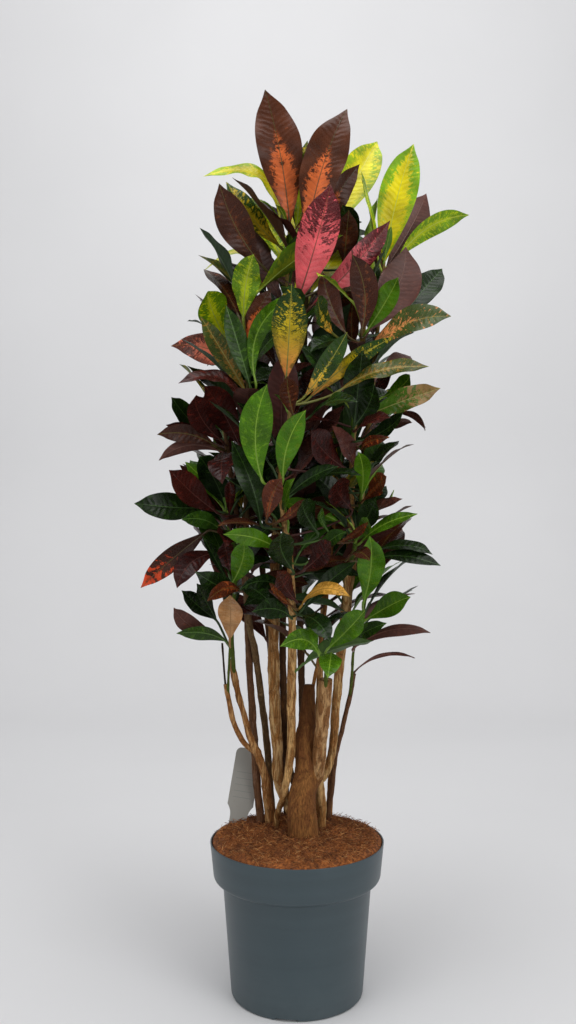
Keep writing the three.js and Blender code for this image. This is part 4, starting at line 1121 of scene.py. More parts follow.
def add_bark(piece, tree, bark, shoot, tones, young_wood_and_shade_from, number):
    """A shoot's tube, with its place round and along the bark and how far its skin is green with
    young wood, on the stump dark with painted shade.
    """
    line = bark_line(shoot, 8)
    thick = shoot.radii[0]
    mesh = grown_mesh(line, tree, {
        "Ring spacing": (4 if thick > 5.5 else 6) * MM,
        "Sides": 20 if thick > 12 else 14 if thick > 6 else 12 if thick > 4 else 8,
        "Scar spacing": (15 + 2 * thick) * MM,
        "Scar height": min(0.09 * thick, 0.8) * MM,
        "Knot height": min(0.16 * thick, 2.2) * MM,
        "Knot size": (10 + 2.2 * thick) * MM,
        "Seed": float(number), "Bark": bark,
    })
    bpy.data.objects.remove(line)
    runs = [value.value / MM for value in mesh.attributes["run"].data]
    turns = [value.value for value in mesh.attributes["turn"].data]
    end = max(runs)
    points = [vertex.co / MM for vertex in mesh.vertices]
    faces = [tuple(polygon.vertices) for polygon in mesh.polygons]
    girth = 2 * math.pi * (shoot.radii[0] + shoot.radii[-1]) / 2
    places = [(turn * girth, run, number * 7.3) for run, turn in zip(runs, turns)]
    shares = [(turn, run / end, smooth_step(young_wood_and_shade_from, young_wood_and_shade_from + YOUNG_WOOD_AND_SHADE_OVER, point.z))
              for run, turn, point in zip(runs, turns, points)]
    piece.add(points, faces, 2, tones, NO_MARKS, places, shares)
    bpy.data.meshes.remove(mesh)


# ---- finishes ----
def bare_finish(name):
    """A new material and its empty tree."""
    made = bpy.data.materials.new(name)
    made.use_nodes = True
    made.node_tree.nodes.clear()
    return made, made.node_tree


def surfaced(made, inputs):
    """The material, ended with its principled shader and its output."""
    shader = node(made.node_tree, "ShaderNodeBsdfPrincipled", inputs)
    node(made.node_tree, "ShaderNodeOutputMaterial", {"Surface": shader})
    return made


def waxy_leaf():
    """Living croton leaf: a waxy skin over side veins 8 mm apart and a fine net between them.

    The wax gives a soft gloss, the blade swells up between its sunken veins and breaks the gloss
    up, and marks run out along the side veins. The net's meshes, 1 mm wide on a real leaf, are
    drawn 2.6 mm wide to show. Flecks are 10 by 6 mm, and the skin's tone changes over 22 mm.
    """
    made, tree = bare_finish("waxy_croton_leaf")
    values = [node(tree, "ShaderNodeSeparateXYZ", {0: node(
        tree, "ShaderNodeAttribute", attribute_name=name).outputs["Vector"]}).outputs
        for name in VECTORS]
    (side, run, seed), (across, along, beneath) = values[:2]
    (reach, blotches, from_base), (one_half, plain_margin, tipped) = values[2:]
    ground, mark, vein, rib_tone, under = [
        node(tree, "ShaderNodeAttribute", attribute_name=name) for name in TONES]
    out = node(tree, "ShaderNodeMath", {0: side}, operation="ABSOLUTE")
    edge = node(tree, "ShaderNodeMath", {0: across}, operation="ABSOLUTE")
    lean = node(tree, "ShaderNodeMath", {0: out, 1: VEIN_LEAN}, operation="MULTIPLY")
    rise = node(tree, "ShaderNodeMath", {0: run, 1: lean}, operation="SUBTRACT")

    # side veins, the midrib and the fine net, all in mm on the blade
    on_blade = node(tree, "ShaderNodeCombineXYZ", {"X": side, "Y": run, "Z": seed})
    wander = node(tree, "ShaderNodeTexNoise", {"Vector": on_blade, "Scale": 0.09, "Detail": 1.0})
    wander = node(tree, "ShaderNodeMapRange", {"Value": wander, "To Min": -3.0, "To Max": 3.0})
    veins = node(tree, "ShaderNodeMath", {0: rise, 1: wander}, operation="ADD")
    veins = node(tree, "ShaderNodeMath", {0: veins, 1: VEIN_SPACING / 2}, operation="PINGPONG")
    vein_line = node(tree, "ShaderNodeMapRange",
                     {"Value": veins, "From Min": 0.1, "From Max": 0.7,
                      "To Min": 1.0, "To Max": 0.0}, interpolation_type="SMOOTHSTEP")
    fade = node(tree, "ShaderNodeMapRange",
                {"Value": edge, "From Min": 0.45, "From Max": 1.0, "To Min": 0.85, "To Max": 0.1})
    vein_line = node(tree, "ShaderNodeMath", {0: vein_line, 1: fade}, operation="MULTIPLY")
    thin = node(tree, "ShaderNodeMapRange", {"Value": along, "To Min": 1.3, "To Max": 0.5})
    rib = node(tree, "ShaderNodeMath", {0: out, 1: thin}, operation="DIVIDE")
    rib = node(tree, "ShaderNodeMapRange",
               {"Value": rib, "From Min": 0.35, "From Max": 1.0, "To Min": 0.85, "To Max": 0.0},
               interpolation_type="SMOOTHSTEP")
    net = node(tree, "ShaderNodeTexVoronoi", {"Vector": on_blade, "Scale": 0.38},
               feature="DISTANCE_TO_EDGE")
    net_line = node(tree, "ShaderNodeMapRange",
                    {"Value": net, "From Max": 0.14, "To Min": 0.3, "To Max": 0.0})

    # marks: noise drawn out along the side veins, cut off by where the leaf's marks lie
    drawn = node(tree, "ShaderNodeCombineXYZ", {
        "X": node(tree, "ShaderNodeMath", {0: side, 1: 0.10}, operation="MULTIPLY"),
        "Y": node(tree, "ShaderNodeMath", {0: rise, 1: 0.17}, operation="MULTIPLY"),
        "Z": seed})
    flecks = node(tree, "ShaderNodeTexNoise",
                  {"Vector": drawn, "Scale": 1.0, "Detail": 4.0, "Roughness": 0.68})
    fleck = node(tree, "ShaderNodeMapRange", {"Value": flecks, "From Min": 0.3, "From Max": 0.7})
    shift = node(tree, "ShaderNodeMath", {0: fleck, 1: 0.5}, operation="SUBTRACT")
    shift = node(tree, "ShaderNodeMath", {0: shift, 1: 0.8}, operation="MULTIPLY")
    end = node(tree, "ShaderNodeMath", {0: tipped, 1: 0.0}, operation="MINIMUM")
    end = node(tree, "ShaderNodeMath", {0: end, 1: 1.15}, operation="ADD")
    taper = node(tree, "ShaderNodeMath", {0: end, 1: along}, operation="SUBTRACT")
    middle = node(tree, "ShaderNodeMath", {0: reach, 1: taper}, operation="MULTIPLY")
    middle = node(tree, "ShaderNodeMath", {0: middle, 1: edge}, operation="SUBTRACT")
    middle = node(tree, "ShaderNodeMath", {0: middle, 1: shift}, operation="ADD")
    blotch = node(tree, "ShaderNodeMath", {0: blotches, 1: fleck}, operation="SUBTRACT")
    low = node(tree, "ShaderNodeMath", {0: from_base, 1: along}, operation="SUBTRACT")
    low = node(tree, "ShaderNodeMath", {0: low, 1: shift}, operation="ADD")
    half = node(tree, "ShaderNodeMath", {0: one_half, 1: across}, operation="MULTIPLY")
    high = node(tree, "ShaderNodeMath", {0: along, 1: tipped}, operation="ADD")
    high = node(tree, "ShaderNodeMath", {0: high, 1: 1.0}, operation="SUBTRACT")
    tip_on = node(tree, "ShaderNodeMath", {0: tipped, 1: 0.01}, operation="GREATER_THAN")
    high = node(tree, "ShaderNodeMath", {0: high, 1: shift}, operation="ADD")
    high = node(tree, "ShaderNodeMath", {0: high, 1: tip_on}, operation="MULTIPLY")
    most = middle
    for other in (blotch, low, half, high):
        most = node(tree, "ShaderNodeMath", {0: most, 1: other}, operation="MAXIMUM")
    marked = node(tree, "ShaderNodeMapRange", {"Value": most, "From Max": 0.16},
                  interpolation_type="SMOOTHSTEP")
    margin = node(tree, "ShaderNodeMath", {0: edge, 1: shift}, operation="ADD")
    margin = node(tree, "ShaderNodeMapRange", {"Value": margin, "From Min": 0.66, "From Max": 0.9})
    margin = node(tree, "ShaderNodeMath", {0: margin, 1: plain_margin}, operation="MULTIPLY")
    margin = node(tree, "ShaderNodeMath", {0: 1.0, 1: margin}, operation="SUBTRACT")
    marked = node(tree, "ShaderNodeMath", {0: marked, 1: margin}, operation="MULTIPLY")
    far = node(tree, "ShaderNodeMath", {0: taper, 1: shift}, operation="SUBTRACT")
    keep = node(tree, "ShaderNodeMapRange", {"Value": far, "From Min": -0.05, "From Max": 0.14},
                interpolation_type="SMOOTHSTEP")
    marked = node(tree, "ShaderNodeMath", {0: marked, 1: keep}, operation="MULTIPLY")
    blush = node(tree, "ShaderNodeMapRange",
                 {"Value": along, "From Min": 0.05, "From Max": 0.5, "To Min": 1.0, "To Max": 0.0})
    blush = node(tree, "ShaderNodeMath", {0: blush, 1: mark.outputs["Alpha"]}, operation="MULTIPLY")
    coral = node(tree, "ShaderNodeMix", {"Factor": blush, "A": mark,
                                         "B": linear("#d66c4a")}, data_type="RGBA")
    colour = node(tree, "ShaderNodeMix", {"Factor": marked, "A": ground,
                                          "B": coral}, data_type="RGBA")

    # the skin's slow change of depth over the blade, then veins, midrib and the duller underside
    cloud = node(tree, "ShaderNodeTexNoise", {"Vector": on_blade, "Scale": 0.045, "Detail": 2.0})
    depth = node(tree, "ShaderNodeMapRange",
                 {"Value": cloud, "From Min": 0.3, "From Max": 0.7, "To Min": 0.7, "To Max": 1.3})
    colour = node(tree, "ShaderNodeHueSaturation", {"Color": colour, "Value": depth})
    fine = node(tree, "ShaderNodeMath", {0: vein_line, 1: net_line}, operation="MAXIMUM")
    fine = node(tree, "ShaderNodeMath", {0: fine, 1: vein.outputs["Alpha"]}, operation="MULTIPLY")
    bold = node(tree, "ShaderNodeMapRange", {"Value": marked, "To Min": 0.4, "To Max": 1.0})
    fine = node(tree, "ShaderNodeMath", {0: fine, 1: bold}, operation="MULTIPLY")
    below = node(tree, "ShaderNodeMath", {0: beneath, 1: 0.55}, operation="MULTIPLY")
    for share, tone in ((fine, vein), (rib, rib_tone), (below, under)):
        colour = node(tree, "ShaderNodeMix", {"Factor": share, "A": colour, "B": tone},
                      data_type="RGBA")

    dull = node(tree, "ShaderNodeMapRange", {"Value": beneath, "To Min": 0.27, "To Max": 0.5})
    grain = node(tree, "ShaderNodeMath", {0: net_line, 1: 0.35}, operation="MULTIPLY")
    dull = node(tree, "ShaderNodeMath", {0: dull, 1: grain}, operation="ADD")
    swell = node(tree, "ShaderNodeMapRange",
                 {"Value": veins, "From Max": VEIN_SPACING / 2},
                 interpolation_type="SMOOTHSTEP")
    swell = node(tree, "ShaderNodeMath", {0: swell, 1: fade}, operation="MULTIPLY")
    cells = node(tree, "ShaderNodeMath", {0: net, 1: 0.5}, operation="MULTIPLY")
    height = node(tree, "ShaderNodeMath", {0: swell, 1: cells}, operation="ADD")
    bump = node(tree, "ShaderNodeBump", {"Strength": 0.3, "Distance": MM, "Height": height})
    return surfaced(made, {"Base Color": colour, "Roughness": dull, "Normal": bump,
                           "Specular IOR Level": 0.2})


def leaf_stalk():
    """Young petiole skin: smooth, flushed with the midrib's colour, with ribs 1 mm apart."""
    made, tree = bare_finish("smooth_leaf_stalk")
    place = node(tree, "ShaderNodeAttribute", attribute_name="surface_mm").outputs["Vector"]
    rib = node(tree, "ShaderNodeAttribute", attribute_name="tone_rib")
    ground = node(tree, "ShaderNodeAttribute", attribute_name="tone_ground")
    drawn = node(tree, "ShaderNodeMapping", {"Vector": place, "Scale": (0.9, 0.06, 1.0)})
    ribs = node(tree, "ShaderNodeTexNoise", {"Vector": drawn, "Scale": 1.0, "Detail": 3.0})
    flush = node(tree, "ShaderNodeMapRange",
                 {"Value": ribs, "From Min": 0.3, "From Max": 0.7, "To Min": 0.15, "To Max": 0.7})
    colour = node(tree, "ShaderNodeMix", {"Factor": flush, "A": rib, "B": ground}, data_type="RGBA")
    bump = node(tree, "ShaderNodeBump", {"Strength": 0.4, "Distance": 0.3 * MM, "Height": ribs})
    return surfaced(made, {"Base Color": colour, "Roughness": 0.45, "Normal": bump})


def croton_bark():
    """Croton bark: thin cork with fine lengthwise cracks, pale flaked patches and a few pores.

    Cracks are 1.4 mm apart and 16 mm long, patches 8 by 38 mm and pores 5 mm apart. It is dull,
    and greener where young, while the stump's upper part is darkened with painted shade. Old leaf
    scars cross it every 16 mm as dark broken lines.
    """
    made, tree = bare_finish("croton_bark")
    place = node(tree, "ShaderNodeAttribute", attribute_name="surface_mm").outputs["Vector"]
    spot = node(tree, "ShaderNodeTexCoord").outputs["Object"]
    share = node(tree, "ShaderNodeAttribute", attribute_name="surface_share").outputs["Vector"]
    share = node(tree, "ShaderNodeSeparateXYZ", {0: share})
    run = node(tree, "ShaderNodeSeparateXYZ", {0: place})
    ground, mark, scar_tone, _, young_wood_and_shade_tone = [
        node(tree, "ShaderNodeAttribute", attribute_name=name) for name in TONES]
    upright = node(tree, "ShaderNodeMapping", {"Vector": spot, "Scale": (1000, 1000, 90)})
    cracks = node(tree, "ShaderNodeTexNoise",
                  {"Vector": upright, "Scale": 0.7, "Detail": 4.0, "Roughness": 0.65})
    flaky = node(tree, "ShaderNodeMapping", {"Vector": spot, "Scale": (125, 125, 26)})
    flakes = node(tree, "ShaderNodeTexNoise",
                  {"Vector": flaky, "Scale": 1.0, "Detail": 5.0, "Roughness": 0.65,
                   "Distortion": 0.6})
    patched = node(tree, "ShaderNodeMath",
                   {0: mark.outputs["Alpha"], 1: flakes}, operation="SUBTRACT")
    patched = node(tree, "ShaderNodeMapRange",
                   {"Value": patched, "From Min": -0.07, "From Max": 0.07, "To Max": 0.75},
                   interpolation_type="SMOOTHSTEP")
    colour = node(tree, "ShaderNodeMix", {"Factor": patched, "A": ground,
                                          "B": mark}, data_type="RGBA")
    shade = node(tree, "ShaderNodeMapRange",
                 {"Value": cracks, "From Min": 0.32, "From Max": 0.68,
                  "To Min": 0.45, "To Max": 1.35})
    colour = node(tree, "ShaderNodeHueSaturation", {"Color": colour, "Value": shade})
    wander = node(tree, "ShaderNodeTexNoise", {"Vector": spot, "Scale": 90.0, "Detail": 3.0})
    scar = node(tree, "ShaderNodeMapRange", {"Value": wander, "To Min": -14.0, "To Max": 14.0})
    scar = node(tree, "ShaderNodeMath", {0: run.outputs["Y"], 1: scar}, operation="ADD")
    scar = node(tree, "ShaderNodeMath", {0: scar, 1: 8.0}, operation="PINGPONG")
    broken = node(tree, "ShaderNodeMapRange",
                  {"Value": flakes, "From Min": 0.42, "From Max": 0.6, "To Max": 0.75})
    scar = node(tree, "ShaderNodeMapRange",
                {"Value": scar, "From Max": 0.8, "To Min": 1.0, "To Max": 0.0})
    scar = node(tree, "ShaderNodeMath", {0: scar, 1: broken}, operation="MULTIPLY")
    pores = node(tree, "ShaderNodeTexVoronoi", {"Vector": spot, "Scale": 210.0})
    pore = node(tree, "ShaderNodeMapRange",
                {"Value": pores, "From Min": 0.06, "From Max": 0.2, "To Min": 0.35, "To Max": 0.0})
    # young wood greens the bark towards its top; on the stump this blend is painted shade
    fresh = node(tree, "ShaderNodeMath", {0: share.outputs["Z"], 1: 0.8}, operation="MULTIPLY")
    for part, tone in ((scar, scar_tone), (pore, mark), (fresh, young_wood_and_shade_tone)):
        colour = node(tree, "ShaderNodeMix", {"Factor": part, "A": colour, "B": tone},
                      data_type="RGBA")
    height = node(tree, "ShaderNodeMath", {0: cracks, 1: patched}, operation="ADD")
    sunk = node(tree, "ShaderNodeMath", {0: scar, 1: -0.7}, operation="MULTIPLY")
    height = node(tree, "ShaderNodeMath", {0: height, 1: sunk}, operation="ADD")
    bump = node(tree, "ShaderNodeBump", {"Strength": 0.9, "Distance": 0.9 * MM, "Height": height})
    return surfaced(made, {"Base Color": colour, "Roughness": 0.8, "Normal": bump,
                           "Specular IOR Level": 0.17})


def coconut_coir(name, tint_attribute):
    """Moist coconut coir: red-brown pith crumbs 4 mm across, with paler dry fibres.

    It is fully matte, with painted shade between the crumbs and painted light on their tops, and
    dries unevenly in patches 25 mm wide.
    """
    made, tree = bare_finish(name)
    spot = node(tree, "ShaderNodeTexCoord").outputs["Object"]
    crumbs = node(tree, "ShaderNodeTexNoise",
                  {"Vector": spot, "Scale": 230.0, "Detail": 5.0, "Roughness": 0.7})
    if tint_attribute:
        tint = node(tree, "ShaderNodeAttribute", attribute_name=tint_attribute).outputs["Fac"]
        ramp = node(tree, "ShaderNodeValToRGB", {"Fac": tint})
        stops = ((0, "#5a3014"), (0.4, "#8a5024"), (0.8, "#b06c32"), (1, "#d6a266"))
    else:
        # painted shade between the crumbs and painted light on their tops: the colour follows the
        # crumbs' height
        ramp = node(tree, "ShaderNodeValToRGB", {"Fac": crumbs})
        stops = ((0.3, "#341a0a"), (0.46, "#764018"), (0.58, "#9c5a26"), (0.72, "#bf7a3a"))
    while len(ramp.color_ramp.elements) < len(stops):
        ramp.color_ramp.elements.new(0.5)
    for element, (place, colour) in zip(ramp.color_ramp.elements, stops):
        element.position, element.color = place, linear(colour)
    patch = node(tree, "ShaderNodeTexNoise", {"Vector": spot, "Scale": 40.0, "Detail": 2.0})
    value = node(tree, "ShaderNodeMapRange",
                 {"Value": patch, "From Min": 0.3, "From Max": 0.7, "To Min": 0.75, "To Max": 1.2})
    colour = node(tree, "ShaderNodeHueSaturation", {"Color": ramp, "Value": value})
    bump = node(tree, "ShaderNodeBump", {"Strength": 1.0, "Distance": 1.5 * MM, "Height": crumbs})
    return surfaced(made, {"Base Color": colour, "Roughness": 0.92, "Normal": bump})


def moulded_polypropylene():
    """Injection-moulded polypropylene of a nursery pot: slate blue-grey, satin, finely pebbled.

    Flow marks run round it as faint bands 11 mm high. Handling leaves pale scuffs 6 mm long, and
    dried water leaves dust low down. The pebbling, 0.3 mm on a real pot, is drawn 1 mm to show.
    """
    made, tree = bare_finish("moulded_polypropylene_slate")
    spot = node(tree, "ShaderNodeTexCoord").outputs["Object"]
    level = node(tree, "ShaderNodeSeparateXYZ", {0: spot})
    bands = node(tree, "ShaderNodeMapping", {"Vector": spot, "Scale": (3, 3, 90)})
    bands = node(tree, "ShaderNodeTexNoise", {"Vector": bands, "Scale": 1.0, "Detail": 3.0})
    tone = node(tree, "ShaderNodeMapRange",
                {"Value": bands, "From Min": 0.3, "From Max": 0.7, "To Min": 0.93, "To Max": 1.07})
    colour = node(tree, "ShaderNodeHueSaturation", {"Color": linear("#344349"), "Value": tone})
    streaks = node(tree, "ShaderNodeMapping", {"Vector": spot, "Scale": (160, 160, 900)})
    streaks = node(tree, "ShaderNodeTexNoise",
                   {"Vector": streaks, "Scale": 1.0, "Detail": 4.0, "Roughness": 0.7})
    scuff = node(tree, "ShaderNodeMapRange",
                 {"Value": streaks, "From Min": 0.62, "From Max": 0.78, "To Max": 0.35})
    dust = node(tree, "ShaderNodeTexNoise",
                {"Vector": spot, "Scale": 28.0, "Detail": 5.0, "Roughness": 0.65})
    low = node(tree, "ShaderNodeMapRange",
               {"Value": level.outputs["Z"], "From Max": 0.07, "To Min": 0.5, "To Max": 0.12})
    dust = node(tree, "ShaderNodeMath", {0: dust, 1: low}, operation="MULTIPLY")
    pale = node(tree, "ShaderNodeMath", {0: scuff, 1: dust}, operation="MAXIMUM")
    colour = node(tree, "ShaderNodeMix", {"Factor": pale, "A": colour,
                                          "B": linear("#5f6a6d")}, data_type="RGBA")
    dull = node(tree, "ShaderNodeMapRange", {"Value": pale, "To Min": 0.36, "To Max": 0.7})
    pebble = node(tree, "ShaderNodeTexVoronoi", {"Vector": spot, "Scale": 900.0},
                  feature="SMOOTH_F1")
    height = node(tree, "ShaderNodeMath", {0: bands, 1: 1.5}, operation="MULTIPLY")
    height = node(tree, "ShaderNodeMath", {0: height, 1: pebble}, operation="ADD")
    bump = node(tree, "ShaderNodeBump", {"Strength": 0.25, "Distance": 0.2 * MM, "Height": height})
    return surfaced(made, {"Base Color": colour, "Roughness": dull, "Normal": bump})


def label_polystyrene():
    """Printed polystyrene tag: grey-white and satin, with plain ruled lines 9 mm apart.

    Watering leaves specks of soil 8 mm across on it.
    """
    made, tree = bare_finish("label_polystyrene")
    place = node(tree, "ShaderNodeAttribute", attribute_name="surface_mm").outputs["Vector"]
    place = node(tree, "ShaderNodeSeparateXYZ", {0: place})
    spot = node(tree, "ShaderNodeTexCoord").outputs["Object"]
    line = node(tree, "ShaderNodeMath", {0: place.outputs["Y"], 1: 4.5}, operation="PINGPONG")
    line = node(tree, "ShaderNodeMapRange",
                {"Value": line, "From Min": 0.25, "From Max": 0.45, "To Min": 0.55, "To Max": 0.0})
    inside = node(tree, "ShaderNodeMath", {0: place.outputs["X"]}, operation="ABSOLUTE")
    inside = node(tree, "ShaderNodeMath", {0: inside, 1: 13.0}, operation="LESS_THAN")
    above = node(tree, "ShaderNodeMath", {0: place.outputs["Y"], 1: 24.0}, operation="GREATER_THAN")
    under = node(tree, "ShaderNodeMath", {0: place.outputs["Y"], 1: 66.0}, operation="LESS_THAN")
    for limit in (inside, above, under):
        line = node(tree, "ShaderNodeMath", {0: line, 1: limit}, operation="MULTIPLY")
    specks = node(tree, "ShaderNodeTexNoise",
                  {"Vector": spot, "Scale": 120.0, "Detail": 5.0, "Roughness": 0.7})
    soil = node(tree, "ShaderNodeMapRange",
                {"Value": specks, "From Min": 0.6, "From Max": 0.75, "To Max": 0.45})
    colour = node(tree, "ShaderNodeMix", {"Factor": line, "A": linear("#96948d"),
                                          "B": linear("#6f7672")}, data_type="RGBA")
    colour = node(tree, "ShaderNodeMix", {"Factor": soil, "A": colour,
                                          "B": linear("#8a7a62")}, data_type="RGBA")
    bump = node(tree, "ShaderNodeBump", {"Strength": 0.3, "Distance": 0.2 * MM, "Height": specks})
    return surfaced(made, {"Base Color": colour, "Roughness": 0.38, "Normal": bump})


# ---- pieces ----
def show(mesh, name, slot, *nodes):
    """Puts a finished mesh in the scene in place of its CAD nodes."""
    piece = placed(name, mesh)
    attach(piece, "root")
    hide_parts(*nodes)


def dress_plants():
    """Every leafy stem: its bark tubes, leaf stalks and blades as one piece."""
    leaf_skin, stalk_skin, bark_skin = waxy_leaf(), leaf_stalk(), croton_bark()
    tubes = bark_tree()
    shoots = {name: {shoot: Shoot(rows) for shoot, rows in plant["shoots"].items()}
              for name, plant in PLANTS.items()}
    grown = {name: leaves_of(name, number, plant, shoots[name])
             for number, (name, plant) in enumerate(PLANTS.items())}
    crown = Crown([leaf for leaves in grown.values() for leaf in leaves])
    tall = [(name, shoot) for name in PLANTS for shoot in shoots[name].values()
            if shoot.points[-1].z > INNER_LOWEST]
    inner = {name: [] for name in PLANTS}
    chance = random.Random(INNER_SEED)
    for _ in range(INNER_COUNT):
        found = crown.fill(tall, chance)
        if found:
            inner[found[0]].append((chance.choice(INNER_KINDS), found[1]))
    for name, shoot in tall:
        kinds = next(kinds for top, kinds in FILL_KINDS if shoot.points[-1].z < top)
        for leaf in crown.buds(shoot, chance):
            inner[name].append((chance.choice(("fresh", "lime", kinds[0])), leaf))
    for number, (name, plant) in enumerate(PLANTS.items()):
        chance = random.Random(BLADE_SEED + number)
        piece = Gathered()
        for order, (shoot_name, shoot) in enumerate(shoots[name].items()):
            kind = SHOOT_BARK[name].get(shoot_name, "twig")
            bark, patch, patched, scar, young_wood_and_shade_tone = BARK[kind]
            patch = linear(patch)
            patch[3] = patched
            tones = [linear(bark), patch, linear(scar), linear(scar), linear(young_wood_and_shade_tone)]
            # bark greens with young wood above this height; the stump darkens with painted shade
            young_wood_and_shade_from = YOUNG_WOOD_AND_SHADE_FROM.get(kind, YOUNG_USUAL)
            add_bark(piece, tubes, bark_skin, shoot, tones, young_wood_and_shade_from, 20 * number + order)
        leaves = [(kind, leaf, FRONT_ROWS if by_eye else FILL_ROWS)
                  for kind, leaf, by_eye in grown[name]]
        leaves += [(kind, leaf, INNER_ROWS) for kind, leaf in inner[name]]
        for kind, leaf, rows in leaves:
            tones = leaf_tones(kind, chance)
            reach, blotch, low, half, margin, tip = LEAF_KINDS[kind][7:]
            marks = ((reach, blotch, low), (half, margin, tip))
            add_blade(piece, leaf, rows, tones, marks, chance)
            add_stalk(piece, leaf, tones, marks, chance)
        mesh = piece.mesh(name + "_dressed", (leaf_skin, stalk_skin, bark_skin))
        show(mesh, name + "_dressed", "croton", name)


def circle(radius, height, sides):
    """Points evenly spread on a level circle round the axis."""
    return [(radius * math.cos(2 * math.pi * k / sides),
             radius * math.sin(2 * math.pi * k / sides), height) for k in range(sides)]


def lathe_mesh(name, profile, sides):
    """A closed shape of revolution from radius and height pairs that start and end on the axis."""
    points, faces, rings = [], [], []
    for radius, height in profile:
        if radius == 0:
            rings.append([len(points)])
            points.append((0, 0, height))
        else:
            rings.append([len(points) + k for k in range(sides)])
            points += circle(radius, height, sides)
    for low, high in zip(rings, rings[1:]):
        for k in range(sides):
            after = (k + 1) % sides
            if len(low) == 1:
                faces.append((low[0], high[after], high[k]))
            elif len(high) == 1:
                faces.append((low[k], low[after], high[0]))
            else:
                faces.append((low[k], low[after], high[after], high[k]))
    mesh = bpy.data.meshes.new(name)
    mesh.from_pydata([[c * MM for c in point] for point in points], [], faces)
    return mesh


def rounded(profile, radii):
    """The profile with each corner turned into an arc of four steps, cut back by its radius."""
    made = [profile[0]]
    for before, corner, after, radius in zip(profile, profile[1:], profile[2:], radii):
        here = Vector(corner)
        back, on = Vector(before) - here, Vector(after) - here
        cut = min(radius, back.length * 0.45, on.length * 0.45)
        start, end = here + back.normalized() * cut, here + on.normalized() * cut
        for i in range(5):
            share = i / 4
            point = start.lerp(here, share).lerp(here.lerp(end, share), share)
            made.append((point.x, point.y))
    return made + [profile[-1]]


def dress_pot():
    """The nursery pot: a tapered body, a wide rim band, a notched foot ring and drain holes."""
    base, wall = POT_BASE_RADIUS, POT_WALL
    floor = POT_FOOT + POT_FLOOR
    profile = [
        (0, 0), (POT_PAD_RADIUS, 0), (POT_PAD_RADIUS, POT_FOOT),
        (base - POT_FOOT_WIDTH, POT_FOOT), (base - POT_FOOT_WIDTH, 0), (base, 0),
        (POT_BODY_TOP_RADIUS, POT_BODY_HEIGHT), (POT_BAND_RADIUS, POT_BODY_HEIGHT + POT_STEP),
        (POT_RIM_RADIUS, POT_HEIGHT), (POT_RIM_RADIUS - wall, POT_HEIGHT),
        (POT_BAND_RADIUS - wall, POT_BODY_HEIGHT + 10),
        (POT_BODY_TOP_RADIUS - wall, POT_BODY_HEIGHT + 3), (base - wall, floor), (0, floor),
    ]
    mesh = lathe_mesh("pot_dressed", rounded(profile, POT_CORNERS), POT_SIDES)
    mesh.materials.append(moulded_polypropylene())
    mesh.shade_smooth()
    pot = placed("pot_lathe", mesh)
    cutters = []
    size = Matrix.Diagonal((NOTCH_DEPTH * MM, NOTCH_WIDTH * MM, 2 * NOTCH_HEIGHT * MM, 1))
    for turn in range(0, 360, 90):
        spin = Matrix.Rotation(math.radians(NOTCH_TURN + turn), 4, "Z")
        cutters.append(spin @ Matrix.Translation((base * MM, 0, 0)) @ size)
    corners = [Vector((x, y, z)) for x in (-0.5, 0.5) for y in (-0.5, 0.5) for z in (-0.5, 0.5)]
    box = ((0, 1, 3, 2), (4, 6, 7, 5), (0, 4, 5, 1), (2, 3, 7, 6), (0, 2, 6, 4), (1, 5, 7, 3))
    points = [tuple(matrix @ corner) for matrix in cutters for corner in corners]
    faces = [tuple(8 * i + c for c in face) for i in range(len(cutters)) for face in box]
    for turn in range(0, 360, 60):
        middle = Vector((DRAIN_CIRCLE * math.cos(math.radians(turn)),
                         DRAIN_CIRCLE * math.sin(math.radians(turn)), 0)) * MM
        first, sides = len(points), DRAIN_SIDES
        for height in (-0.01, 0.02):
            points += [(middle.x + x, middle.y + y, z)
                       for x, y, z in circle(DRAIN_RADIUS * MM, height, sides)]
        faces.append(tuple(range(first, first + sides))[::-1])
        faces.append(tuple(range(first + sides, first + 2 * sides)))
        faces += ring_faces(first, sides)
    openings = bpy.data.meshes.new("openings")
    openings.from_pydata(points, [], faces)
    cutter = placed("openings", openings)
    cut = pot.modifiers.new("cut", "BOOLEAN")
    cut.operation, cut.solver, cut.object = "DIFFERENCE", "EXACT", cutter
    bpy.context.view_layer.update()
    depsgraph = bpy.context.evaluated_depsgraph_get()
    finished = bpy.data.meshes.new_from_object(pot.evaluated_get(depsgraph))
    bpy.data.objects.remove(pot)
    bpy.data.objects.remove(cutter)
    finished.set_sharp_from_angle(angle=math.radians(SHARP_EDGE))
    show(finished, "pot_dressed", "pot_plastic", "pot")


def soil_height(radius):
    for (near, high), (far, low) in zip(SOIL_PROFILE, SOIL_PROFILE[1:]):
        if radius <= far:
            return high + (low - high) * (radius - near) / (far - near)
    return SOIL_PROFILE[-1][1]


